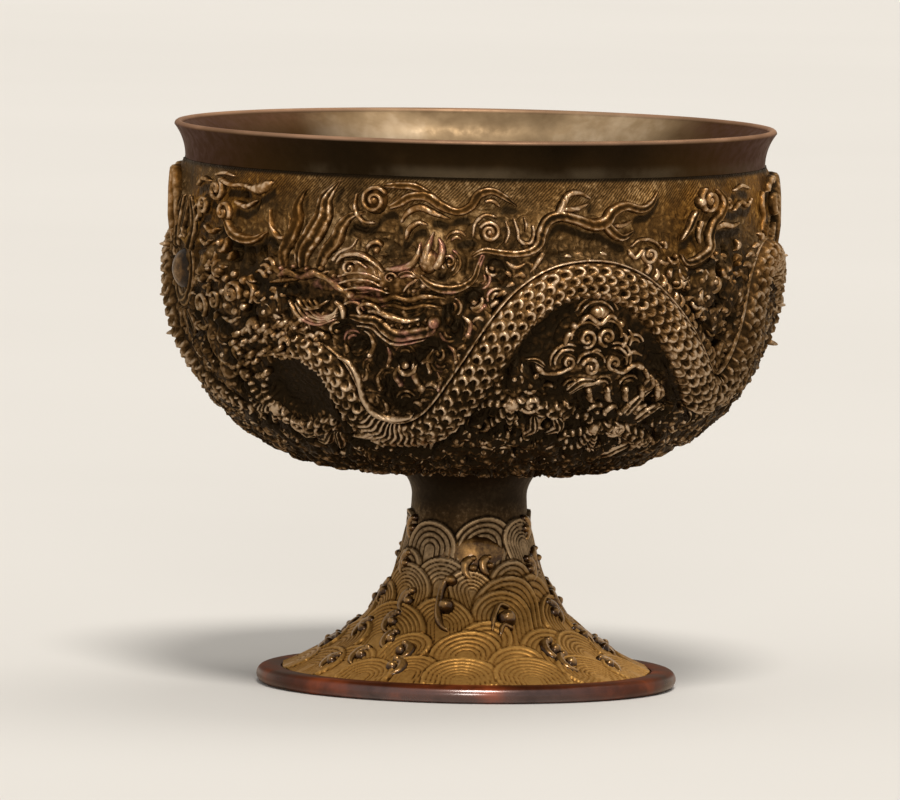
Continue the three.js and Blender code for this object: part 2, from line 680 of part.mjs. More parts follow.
function washer() {
  const bottom = WEB_UNDER_Z - WASHER_HEIGHT;
  const outline = [
    [STUD_HOLE_RADIUS, WEB_UNDER_Z],
    [WASHER_RADIUS, WEB_UNDER_Z],
    [WASHER_RADIUS, bottom],
    [STUD_HOLE_RADIUS, bottom],
  ];
  return revolve(outline, SMALL_ROUND_STEPS);
}

function nut() {
  const corner = NUT_ACROSS_FLATS / 2 / Math.cos(Math.PI / 6);
  const corners = [];
  for (let k = 0; k < 6; k++) {
    const turn = (Math.PI / 3) * k;
    corners.push(new THREE.Vector2(corner * Math.cos(turn), corner * Math.sin(turn)));
  }
  const outline = new THREE.Shape(corners);
  outline.holes.push(new THREE.Path().absarc(0, 0, STUD_RADIUS + THREAD_GAP, 0, 2 * Math.PI));
  const body = new THREE.ExtrudeGeometry(outline, {
    depth: NUT_HEIGHT,
    bevelEnabled: false,
    curveSegments: SMALL_ROUND_STEPS / 2,
  });
  body.translate(0, 0, WEB_UNDER_Z - WASHER_HEIGHT - NUT_HEIGHT);
  return toSolid(body);
}

// Assembly

const goblet = new THREE.Group();

function place(name, solid, material, parent = goblet) {
  const mesh = new THREE.Mesh(toGeometry(solid), material);
  mesh.name = name;
  parent.add(mesh);
}

place("liner", liner(), PALE_BRONZE);
place("stem_and_foot", stemAndFoot(), FOOT_BRONZE);
place("foot_ring", footRing(), COPPER_RED);
place("stud", stud(), BRIGHT_BRASS);
place("stud_washer", washer(), BRIGHT_BRASS);
place("stud_nut", nut(), BRIGHT_BRASS);

// What lies beside a dragon gives way to it, with room for solder.
const body = dragonBody();
const head = dragonHead();
const headRoom = dragonHead(SIDE_GAP);
const bodyRoom = dragonBody(SIDE_GAP);
const dragonRoom = [bodyRoom, bodyRoom.rotate([0, 0, 180]), headRoom, dragonJaw(SIDE_GAP)];
const clearOfDragons = (solid) => cut(solid, dragonRoom);

const relief = {
  dragon_body: body,
  dragon_head: head,
  dragon_jaw: cut(dragonJaw(), [headRoom]),
  dragon_crest: clearOfDragons(dragonCrest()),
  dragon_mane: clearOfDragons(dragonMane()),
  dragon_foreleg_left: clearOfDragons(dragonLeg(FORELEG_LEFT)),
  dragon_foreleg_right: clearOfDragons(dragonLeg(FORELEG_RIGHT)),
  dragon_hindleg: clearOfDragons(dragonLeg(HINDLEG)),
  pearl: pearl(),
  pearl_flames: clearOfDragons(pearlFlames()),
  cloud_scroll: clearOfDragons(upperScroll()),
  cloud_ribbon: clearOfDragons(longRibbon()),
  cloud_knot: clearOfDragons(hangingKnot()),
  cloud_arch: clearOfDragons(archCloud()),
  cloud_side: clearOfDragons(sideCloud()),
  cloud_flower: clearOfDragons(flowerCloud()),
};

const oneSet = wasm.Manifold.union(Object.values(relief));
place("shell", shell(oneSet.add(oneSet.rotate([0, 0, 180]))), DARK_BRONZE);

// The same set is soldered on twice, half a turn apart.
["front", "back"].forEach((side, i) => {
  const half = new THREE.Group();
  half.rotation.z = Math.PI * i;
  goblet.add(half);
  for (const [name, solid] of Object.entries(relief)) place(`${side}_${name}`, solid, RELIEF_BRONZE, half);
});

export default goblet;
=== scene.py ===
"""A bronze stem cup with dragons, clouds and waves in high relief, dressed around its fixed frame.

The front of the cup faces -Y. Relief is written as places on a wall: degrees round the axis from the front,
towards +X, and millimetres down the wall from its top edge. The sizes of relief are in millimetres too.
"""

import functools
import math
import random

import bmesh
import bpy
import numpy as np
from mathutils import Matrix, Vector


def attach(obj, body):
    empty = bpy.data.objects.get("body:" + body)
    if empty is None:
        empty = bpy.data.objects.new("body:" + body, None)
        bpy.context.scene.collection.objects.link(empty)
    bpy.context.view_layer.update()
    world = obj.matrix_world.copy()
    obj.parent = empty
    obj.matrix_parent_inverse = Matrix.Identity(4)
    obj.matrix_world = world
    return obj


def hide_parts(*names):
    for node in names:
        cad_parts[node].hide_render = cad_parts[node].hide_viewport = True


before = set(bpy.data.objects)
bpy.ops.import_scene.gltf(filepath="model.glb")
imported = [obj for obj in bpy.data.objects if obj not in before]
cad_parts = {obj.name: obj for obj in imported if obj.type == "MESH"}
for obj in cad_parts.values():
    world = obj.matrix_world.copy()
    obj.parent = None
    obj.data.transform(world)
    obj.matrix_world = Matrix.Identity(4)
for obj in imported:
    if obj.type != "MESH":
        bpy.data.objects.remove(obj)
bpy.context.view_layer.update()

bl_info = {
    "name": "Dragon stem cup",
    "version": (1, 0, 0),
    "blender": (4, 5, 0),
    "location": "3D View > Sidebar > Stem Cup",
    "description": "Makes a patinated bronze stem cup with dragons, clouds and waves in relief",
    "category": "Add Mesh",
}

MM = 0.001
BODY = "root"
SIDES = ("front", "back")

# Sizes in millimetres, as the frame has them
LIP_RADIUS = 45.0
LIP_Z = 84.0
LIP_FLARE_Z = 81.2
NECK_RADIUS = 43.3
NECK_INSIDE_RADIUS = 40.3
BELLY_RADIUS = 43.7
BELLY_Z = 63.0
BOWL_FULLNESS = 2.5
# The cast wall of the bowl and the turned liner, as depths in from the outside of the cast wall
CAST_WALL = 1.6
LINER_OUTSIDE = 1.9
LINER_INSIDE = 3.0
SHELL_TOP_Z = 78.4
BOWL_BASE_Z = 32.0
BOWL_SEAT_Z = 32.36
BOWL_FLOOR_Z = 33.95
LINER_BASE_Z = 34.75
LINER_FLOOR_Z = 35.85
STEM_SEAT_RADIUS = 10.4
STEM_SEAT_Z = 32.34
STEM_FILLET_Z = 30.4
STEM_WAIST_RADIUS = 8.6
STEM_WAIST_Z = 28.5
STEM_HOLLOW_RADIUS = 6.6
WEB_Z = 29.75
STUD_HOLE_RADIUS = 2.3
FOOT_WALL = 1.7
FOOT_EDGE_RADIUS = 27.4
FOOT_EDGE_Z = 2.2
FOOT_INSIDE_RADIUS = 25.9
# Corners that pull on the curve from the stem's waist to the foot's edge
FOOT_PULLS = ((STEM_WAIST_RADIUS + 0.3, 17.5), (12.5, 8.5))
RING_INSIDE_RADIUS = 25.7
RING_SEAT_RADIUS = 27.7
RING_STEP_Z = 1.0
# The rounding on the foot ring's side, and its middle
RING_ROUNDING = 1.3
RING_SIDE = (30.1, 1.3)

# How deep the underside of a casting is let into the wall that it is soldered to
SUNK = 0.3


class CupSizes(bpy.types.PropertyGroup):
    """Sizes that change the look of the cup without changing its frame."""

    turned_steps: bpy.props.IntProperty(
        name="Turned steps", description="Sides of the turned pieces", default=192, min=24, max=512
    )
    fill_seed: bpy.props.IntProperty(
        name="Fill seed", description="Start of the random placing of small curls", default=7, min=0
    )
    lip_edge: bpy.props.FloatProperty(
        name="Lip edge", description="Thickness of the lip", default=1.2 * MM, unit="LENGTH",
        subtype="DISTANCE"
    )


def colour(name, description, value):
    """A property that holds a linear colour."""
    return bpy.props.FloatVectorProperty(name=name, description=description, default=value, size=3,
                                         subtype="COLOR")


class CupColours(bpy.types.PropertyGroup):
    """The patina's colours, as linear values."""

    # Near black patina in the hollows, also used for the painted shade under the belly and at the sides and
    # the painted shadow under the lip and the castings.
    recess_and_shade: colour("Recess", "Near black patina in the hollows", (0.01, 0.0055, 0.002))
    brown: colour("Brown", "Dark brown patina on plain faces", (0.048, 0.023, 0.007))
    bronze: colour("Bronze", "Bronze where the patina wears thin", (0.16, 0.082, 0.028))
    rubbed: colour("Rubbed bronze", "Metal on rubbed ridges", (0.33, 0.2, 0.1))
    bare: colour("Bare bronze", "Bright metal on the highest points", (0.58, 0.41, 0.26))
    ochre: colour("Ochre", "Earthy bloom in the patina", (0.17, 0.068, 0.01))
    pink: colour("Pink bronze", "Rosy metal on the nose and jaw", (0.54, 0.23, 0.18))
    copper: colour("Copper", "Red brown of the foot ring", (0.075, 0.015, 0.004))


# Walls that carry relief


class Wall:
    """A turned face of the cup. Its outline runs from the top down, as radius and height in millimetres."""

    def __init__(self, outline):
        self.outline = np.array(outline, float)
        steps = np.linalg.norm(np.diff(self.outline, axis=0), axis=1)
        self.lengths = np.concatenate([[0], np.cumsum(steps)])
        along = np.gradient(self.outline, self.lengths, axis=0)
        along /= np.linalg.norm(along, axis=1)[:, None]
        self.out = np.column_stack([-along[:, 1], along[:, 0]])

    def radius(self, down):
        """The wall's radius at a drop."""
        return np.interp(down, self.lengths, self.outline[:, 0])

    def per_degree(self, down):
        """Millimetres in one degree round the wall."""
        return math.radians(1) * self.radius(down)

    def points(self, places):
        """Turns rows of degrees, drop and height off the wall into points in metres."""
        degrees, down, off = np.asarray(places, float).T
        out_r = np.interp(down, self.lengths, self.out[:, 0])
        out_z = np.interp(down, self.lengths, self.out[:, 1])
        radius = self.radius(down) + out_r * off
        height = np.interp(down, self.lengths, self.outline[:, 1]) + out_z * off
        turn = np.radians(degrees)
        return np.column_stack([radius * np.sin(turn), -radius * np.cos(turn), height]) * MM


def bezier(corners, steps):
    """Points of a curve that its corners pull on, from the first corner to the last."""
    t = np.linspace(0, 1, steps)[:, None]
    levels = [np.array(corner, float) + 0 * t for corner in corners]
    while len(levels) > 1:
        levels = [a * (1 - t) + b * t for a, b in zip(levels, levels[1:])]
    return [tuple(point) for point in levels[0]]


def bowl_outline(inset=0.0, steps=160):
    """The outside of the bowl's cast wall, less an inset, from its top edge to the middle of its base."""
    radius = BELLY_RADIUS - inset
    depth = BELLY_Z - BOWL_BASE_Z - inset
    outline = []
    for z in np.linspace(SHELL_TOP_Z, BELLY_Z, 24, endpoint=False):
        rise = (z - BELLY_Z) / (SHELL_TOP_Z - BELLY_Z)
        outline.append((radius - (BELLY_RADIUS - NECK_RADIUS) * rise**2, z))
    for turn in np.linspace(0, math.pi / 2, steps):
        across = max(0.0, math.cos(turn)) ** (2 / BOWL_FULLNESS)
        drop = math.sin(turn) ** (2 / BOWL_FULLNESS)
        outline.append((radius * across, BELLY_Z - depth * drop))
    return outline


def foot_outline(steps=120):
    """The outside of the stem and foot, from the seat under the bowl to the edge."""
    seat = (STEM_SEAT_RADIUS, STEM_SEAT_Z)
    waist = (STEM_WAIST_RADIUS, STEM_WAIST_Z)
    edge = (FOOT_EDGE_RADIUS, FOOT_EDGE_Z)
    fillet = bezier([seat, (STEM_WAIST_RADIUS, STEM_FILLET_Z), waist], 16)
    return fillet + bezier([waist, *FOOT_PULLS, edge], steps)[1:]


BOWL = Wall(bowl_outline())
FOOT = Wall(foot_outline())


# Relief, laid out as places and then wrapped on a wall

# How much wider the plain strands are cast than they are drawn
FULLNESS = 1.25
# How wide and how tall the very end of a strand is, as shares of its width and height
END_WIDTH = 0.12
END_HEIGHT = 0.45


class Relief:
    """A mesh of places on a wall. Each vertex also says how worn it is, from 0 in hollows to 1 on ridges."""

    def __init__(self, places, faces, worn):
        self.places = np.asarray(places, float).reshape(-1, 3)
        self.faces = faces
        self.worn = np.asarray(worn, float).reshape(-1)


def joined(reliefs):
    """One relief made of many, which may stand in lists in the list."""
    flat = [joined(each) if isinstance(each, list) else each for each in reliefs]
    starts = np.cumsum([0] + [len(each.places) for each in flat])
    faces = [tuple(start + i for i in face) for each, start in zip(flat, starts) for face in each.faces]
    places = np.vstack([each.places for each in flat])
    return Relief(places, faces, np.concatenate([each.worn for each in flat]))


def spread(values, share):
    """Values spread evenly from 0 to 1, read at shares."""
    values = np.atleast_1d(values).astype(float)
    if len(values) == 1:
        return np.full(np.shape(share), values[0])
    return np.interp(share, np.linspace(0, 1, len(values)), values)


def soft(low, high, value):
    """Rises smoothly from 0 at low to 1 at high."""
    t = np.clip((np.asarray(value, float) - low) / (high - low), 0, 1)
    return t * t * (3 - 2 * t)


def route(points, step, wall):
    """Even places along a smooth line through points, with the direction and the length run at each."""
    points = np.array(points, float)
    scale = wall.per_degree(points[:, 1])
    gaps = np.hypot(np.diff(points[:, 0]) * (scale[1:] + scale[:-1]) / 2, np.diff(points[:, 1]))
    knots = np.concatenate([[0], np.cumsum(np.sqrt(np.maximum(gaps, 1e-6)))])
    if len(points) > 2:
        slopes = np.gradient(points, knots, axis=0)
    else:
        slopes = np.repeat(np.diff(points, axis=0) / knots[1], 2, axis=0)
    fine = []
    for i in range(len(points) - 1):
        t = np.linspace(0, 1, 16, endpoint=i == len(points) - 2)[:, None]
        gap = knots[i + 1] - knots[i]
        fine.append(
            (2 * t**3 - 3 * t**2 + 1) * points[i]
            + (t**3 - 2 * t**2 + t) * gap * slopes[i]
            + (3 * t**2 - 2 * t**3) * points[i + 1]
            + (t**3 - t**2) * gap * slopes[i + 1]
        )
    fine = np.vstack(fine)
    across = np.diff(fine[:, 0]) * wall.per_degree((fine[1:, 1] + fine[:-1, 1]) / 2)
    lengths = np.concatenate([[0], np.cumsum(np.hypot(across, np.diff(fine[:, 1])))])
    count = max(4, int(round(lengths[-1] / step)) + 1)
    even = np.linspace(0, lengths[-1], count)
    places = np.column_stack([np.interp(even, lengths, fine[:, 0]), np.interp(even, lengths, fine[:, 1])])
    along = np.gradient(places, even, axis=0)
    along[:, 0] *= wall.per_degree(places[:, 1])
    along /= np.linalg.norm(along, axis=1)[:, None]
    return places, along, even


def quads(index):
    """The faces between the rows and columns of a grid of vertex numbers."""
    corners = np.stack([index[:-1, :-1], index[1:, :-1], index[1:, 1:], index[:-1, 1:]], axis=-1)
    return corners.reshape(-1, 4).tolist()


def skin(grid, worn):
    """A closed relief over rows of places, whose ends join underneath. The first and last row are capped."""
    rows, across, _ = grid.shape
    index = np.arange(rows * across).reshape(rows, across)
    faces = quads(np.column_stack([index, index[:, 0]]))
    faces.append(index[0].tolist())
    faces.append(index[-1][::-1].tolist())
    return Relief(grid, faces, worn)


def strand(points, width, height, *, wall=BOWL, step=0.25, ridges=1, furrow=0.3, across=7, blunt=0.6,
           boxy=0.75, lift=0.0, detail=None, wear=1.0):
    """A swelling strand along places on a wall.

    width and height are spread along it. Its ends are rounded over blunt times its half width. It may have
    ridges along it, with hollows furrow deep between them. boxy under 1 squares its section, lift raises it
    on what lies under it, and wear scales how worn it is. detail(length, side, half) gives a height to add
    over it, and the wear there.
    """
    places, along, lengths = route(points, step, wall)
    share = lengths / lengths[-1]
    half = spread(width, share) / 2 * (1 if detail else FULLNESS)
    tall = spread(height, share) + lift
    if blunt:
        ends = np.minimum(lengths, lengths[-1] - lengths) / (blunt * half + 1e-6)
        rounding = np.sqrt(np.clip(1 - (1 - np.clip(ends, 0, 1)) ** 2, 0.0, 1))
        half = half * (END_WIDTH + (1 - END_WIDTH) * rounding)
        tall = tall * (END_HEIGHT + (1 - END_HEIGHT) * rounding)
    if ridges > 1:
        side = np.linspace(-1, 1, 4 * ridges + 1)
    else:
        side = -np.cos(np.linspace(0, math.pi, across))
    up = np.clip(1 - side**2, 0, 1) ** (boxy / 2)
    off = -SUNK + (tall[:, None] + SUNK) * up[None, :]
    worn = np.tile(soft(0.45, 1.0, up), (len(lengths), 1))
    if ridges > 1:
        crest = 0.5 - 0.5 * np.cos(2 * math.pi * ridges * (side + 1) / 2)
        deep = np.minimum(furrow, 0.4 * half)[:, None]
        off -= deep * ((1 - crest) * np.minimum(1, 1.6 * up))[None, :]
        worn = np.tile((crest * np.minimum(1, 1.3 * up)) ** 1.2, (len(lengths), 1))
    if detail:
        extra, shade = detail(lengths[:, None], side[None, :] * half[:, None], half[:, None])
        off += extra * np.minimum(1, up * 2)[None, :]
        worn = np.clip(shade * np.minimum(1, up * 1.5)[None, :], 0, 1)
    reach = side[None, :] * half[:, None]
    degrees = places[:, :1] - reach * along[:, 1:2] / wall.per_degree(places[:, 1])[:, None]
    down = places[:, 1:2] + reach * along[:, :1]
    return skin(np.stack([degrees, down, off], axis=-1)[:, ::-1], (worn * wear)[:, ::-1])


def knob(place, radius, height, *, wall=BOWL, rings=5, sides=12, squash=1.0, wear=1.0, boxy=1.0):
    """A round boss. squash under 1 shortens it down the wall, and boxy under 1 flattens its top."""
    lean = np.linspace(0, math.pi / 2, rings + 1)
    angles = np.linspace(0, 2 * math.pi, sides, endpoint=False)
    smallest = 0.06
    reach = radius * np.maximum(smallest, np.cos(lean))[:, None]
    x, y = reach * np.cos(angles)[None], reach * squash * np.sin(angles)[None]
    up = np.sin(lean) ** boxy
    off = np.repeat((-SUNK + (height + SUNK) * up)[:, None], sides, axis=1)
    worn = np.repeat((soft(0.3, 1, up) * wear)[:, None], sides, axis=1)
    return skin(np.stack([place[0] + x / wall.per_degree(place[1]), place[1] + y, off], axis=-1), worn)


def wound(centre, radius, *, turns, start=0.0, hand=1, width=0.6):
    """Places that wind outwards from a centre, and stop at start degrees round it."""
    share = np.linspace(0, 1, int(9 * turns) + 3)
    angle = np.radians(start) - hand * (1 - share) * turns * 2 * math.pi
    reach = width * 0.5 + (radius - width) * share
    degrees = centre[0] + reach * np.cos(angle) / BOWL.per_degree(centre[1])
    return np.column_stack([degrees, centre[1] + reach * np.sin(angle)]).tolist()


def curl(centre, radius, *, start=0.0, hand=1, turns=1.5, width=0.68, height=1.5, tail=(), tail_width=1.1):
    """A strand wound on a dome round a middle boss, with a tail that may run on from its outer end."""
    lay = wound(centre, radius, turns=turns, start=start, hand=hand, width=width)
    widths = [width] * len(lay)
    heights = np.linspace(height * 1.15, height * 0.95, len(lay)).tolist()
    if tail:
        widths += [tail_width] * (len(tail) - 1) + [0.35]
        heights += [height * 0.85] * (len(tail) - 1) + [height * 0.6]
    return [
        strand(lay + list(tail), widths, heights, step=0.18, across=6),
        knob(centre, radius * 0.98, height * 0.78, wear=0.3, sides=16, boxy=0.8),
        knob(centre, radius * 0.4, height * 1.1, wear=0.85, sides=10, rings=4),
    ]


def nest(centre, reaches, start, end, height, *, squash=1.0, wear=0.85):
    """Thin arcs, one round the other, from one angle to another in degrees from +X towards the foot."""
    scale = BOWL.per_degree(centre[1])
    turns = np.radians(np.linspace(start, end, 7))
    arcs = []
    for number, reach in enumerate(reaches):
        across, along = reach / scale, squash * reach
        places = [(centre[0] + across * math.cos(t), centre[1] + along * math.sin(t)) for t in turns]
        tall = height * (1 - 0.12 * number)
        arcs.append(strand(places, [0.35, 0.6, 0.6, 0.35], tall, wear=wear, across=6, step=0.3))
    return arcs


def hook(points, width, height, *, ball=0.0, **more):
    """A strand that tapers from its first point to its last, with a ball on its thick end if asked."""
    widths = [width * 0.8, width, width * 0.85, width * 0.3]
    made = [strand(points, widths, [height, height, height * 0.6], **more)]
    if ball:
        made.append(knob(points[0], ball, height * 1.15))
    return made


# Dragon

# The line along the middle of the body, from the neck behind the head to the tip of the tail
SPINE = [
    (-37.4, 24.6), (-31.8, 26.4), (-28, 28.8), (-26.3, 32.6), (-24.4, 36.6), (-19.4, 39.5), (-13, 39.4),
    (-7, 36.8), (-2.4, 32.2), (1.8, 27.4), (5.6, 22.8), (9.8, 18.7), (14.6, 15.9), (20, 14.7), (26, 14.8),
    (31.6, 16.3), (37.4, 19.4), (43, 23.4), (49, 28), (55, 31.8), (60.6, 32.2), (65, 28.6), (67.2, 22.6),
    (69.4, 17), (73.6, 13.6), (80, 12.8), (88, 16), (95, 23), (103, 29.4), (114, 34), (126, 38),
]
SPINE_SWELL = [0.7, 0.86, 0.95, 1, 1, 1, 1, 1, 1, 1, 1.08, 1.2, 1.16, 1, 0.95, 0.9, 0.8, 0.65, 0.45, 0.2]
BODY_WIDTH = 6.0
BODY_HEIGHT = 2.7
SCALE_LENGTH = 1.85
SCALE_WIDTH = 1.3


def scatter(number):
    """A share from 0 to 1 that looks random and is the same for the same number."""
    value = np.sin(np.asarray(number, float) * 12.9898) * 43758.5453
    return value - np.floor(value)


def scales(length, side, half):
    """Overlapping scales in staggered rows, each a raised rim round a dark pit, and beads on the belly edge.

    At the first bend of the body the scales give way to bands across it.
    """
    rims = np.zeros(np.broadcast(length, side).shape)
    pits = np.zeros(rims.shape)
    row = np.round(side / SCALE_WIDTH)
    for step in (-1, 0, 1):
        own = row + step
        lag = length / SCALE_LENGTH + 0.5 * np.mod(own, 2)
        place = np.round(lag)
        x = (lag - place) * SCALE_LENGTH
        y = side - own * SCALE_WIDTH
        size = 0.86 + 0.28 * scatter(place * 7 + own)
        reach = np.hypot(x / 0.92, y / 0.78) / size
        open_side = 0.12 + 0.88 * soft(-0.6, 0.2, x)
        rims = np.maximum(rims, np.exp(-(((reach - 0.66) / 0.27) ** 2)) * open_side * size)
        pits = np.maximum(pits, 1 - soft(0.12, 0.5, np.hypot((x + 0.22) / 0.92, y / 0.78) / size))
    beads = 0.5 + 0.5 * np.cos(2 * math.pi * length / 1.7)
    belly = np.exp(-(((side - 0.84 * half) / 0.5) ** 2)) * beads
    inside = 1 - soft(-0.7, -0.84, side / half)
    height = (0.6 * rims - 0.55 * pits) * inside + 0.5 * belly - 0.3 * (1 - inside)
    shade = np.maximum((0.15 + 0.85 * np.clip(rims, 0, 1) ** 1.2 - 0.7 * pits) * inside, 0.8 * belly)
    banded = soft(15, 17.5, length - 0.6 * side) * (1 - soft(23.5, 26, length - 0.6 * side))
    beat = 0.5 + 0.5 * np.cos(2 * math.pi * (length + 0.25 * side + 0.25 * np.sin(2.2 * side)) / 0.95)
    height = height * (1 - banded) + (0.55 * beat - 0.3) * banded
    return height, shade * (1 - banded) + (0.05 + 0.95 * beat) * banded


def ribbed(spacing):
    """Rings across a limb or a wound tail."""
    def detail(length, side, half):
        bend = length + 0.35 * (side / half) ** 2
        beat = 0.5 + 0.5 * np.cos(2 * math.pi * bend / spacing)
        return -0.32 * (1 - beat), 0.1 + 0.9 * beat**1.5
    return detail


def along_back(spacing, reach):
    """Places beside the spine, reach half widths towards the back, with direction and scale there."""
    places, along, lengths = route(SPINE, spacing, BOWL)
    scale = BOWL.per_degree(places[:, 1])
    out = BODY_WIDTH * spread(SPINE_SWELL, lengths / lengths[-1]) / 2 * reach
    beside = np.column_stack([places[:, 0] + along[:, 1] * out / scale, places[:, 1] - along[:, 0] * out])
    return beside, along, scale


def dragon_body():
    """The scaled body with its rim and flames of skin, hair under its first bend and pins on its tail."""
    swell = np.array(SPINE_SWELL)
    heights = BODY_HEIGHT * (0.3 + 0.7 * np.minimum(1, swell))
    body = strand(SPINE, BODY_WIDTH * swell, heights,
                  step=0.17, across=37, boxy=0.85, blunt=0.8, detail=scales)
    rim_places, _, _ = along_back(4.0, 0.9)
    rim = strand(rim_places.tolist(), 0.42, [1.3, 1.8, 1.9, 1.9, 1.8, 1.5, 1.0, 0.8, 0.6],
                 across=6, wear=0.75)
    rng = random.Random(11)
    flames = []
    places, along, scale = along_back(1.5, 1.02)
    for (degrees, down), (right, below), unit in list(zip(places, along, scale))[3:-6]:
        calm = 13 < degrees < 33
        out = rng.uniform(0.4, 0.8) if calm else rng.uniform(0.6, 1.9)
        back = rng.uniform(0.5, 1.6)
        tall = 0.8 if calm else rng.uniform(1.1, 1.9)
        tip = (degrees + (below * out - right * back) / unit, down - right * out - below * back)
        middle = (degrees + (below * out * 0.7) / unit, down - right * out * 0.7)
        heights = [tall * 0.8, tall * 0.8, tall * 0.5]
        wear = rng.uniform(0.3, 0.8)
        flames.append(strand([(degrees, down), middle, tip], [0.9, 0.9, 0.3], heights,
                             across=6, step=0.3, wear=wear))
    hair = []
    for k in range(13):
        start = (-9.4 - 0.95 * k, 37.4 + 0.1 * k)
        lean = -1.1 + 0.24 * k
        tip = (start[0] - 2.2 - lean - 0.5 * k, 44.4 - 0.24 * k)
        bend = ((start[0] + tip[0]) / 2 + 0.7, (start[1] + tip[1]) / 2)
        hair.append(strand([start, bend, tip], [0.6, 0.95, 0.3], [1.9, 2.2, 1.0], across=6, step=0.35))
    belly = strand(
        [(-27, 26.5), (-24.4, 27.4), (-22.9, 29.6), (-22.6, 32.8), (-20.9, 35.3), (-16.8, 36.3),
         (-12.4, 35.6)],
        [0.5, 0.8, 0.8, 0.8, 0.4], [1.6, 2.3, 2.4, 2.2], across=6,
    )
    pins = [knob(place, 0.55, 3.3) for place in ((89.2, 13.2), (90.4, 20.4), (89.6, 25.8))]
    return joined([body, rim, flames, hair, belly, pins])


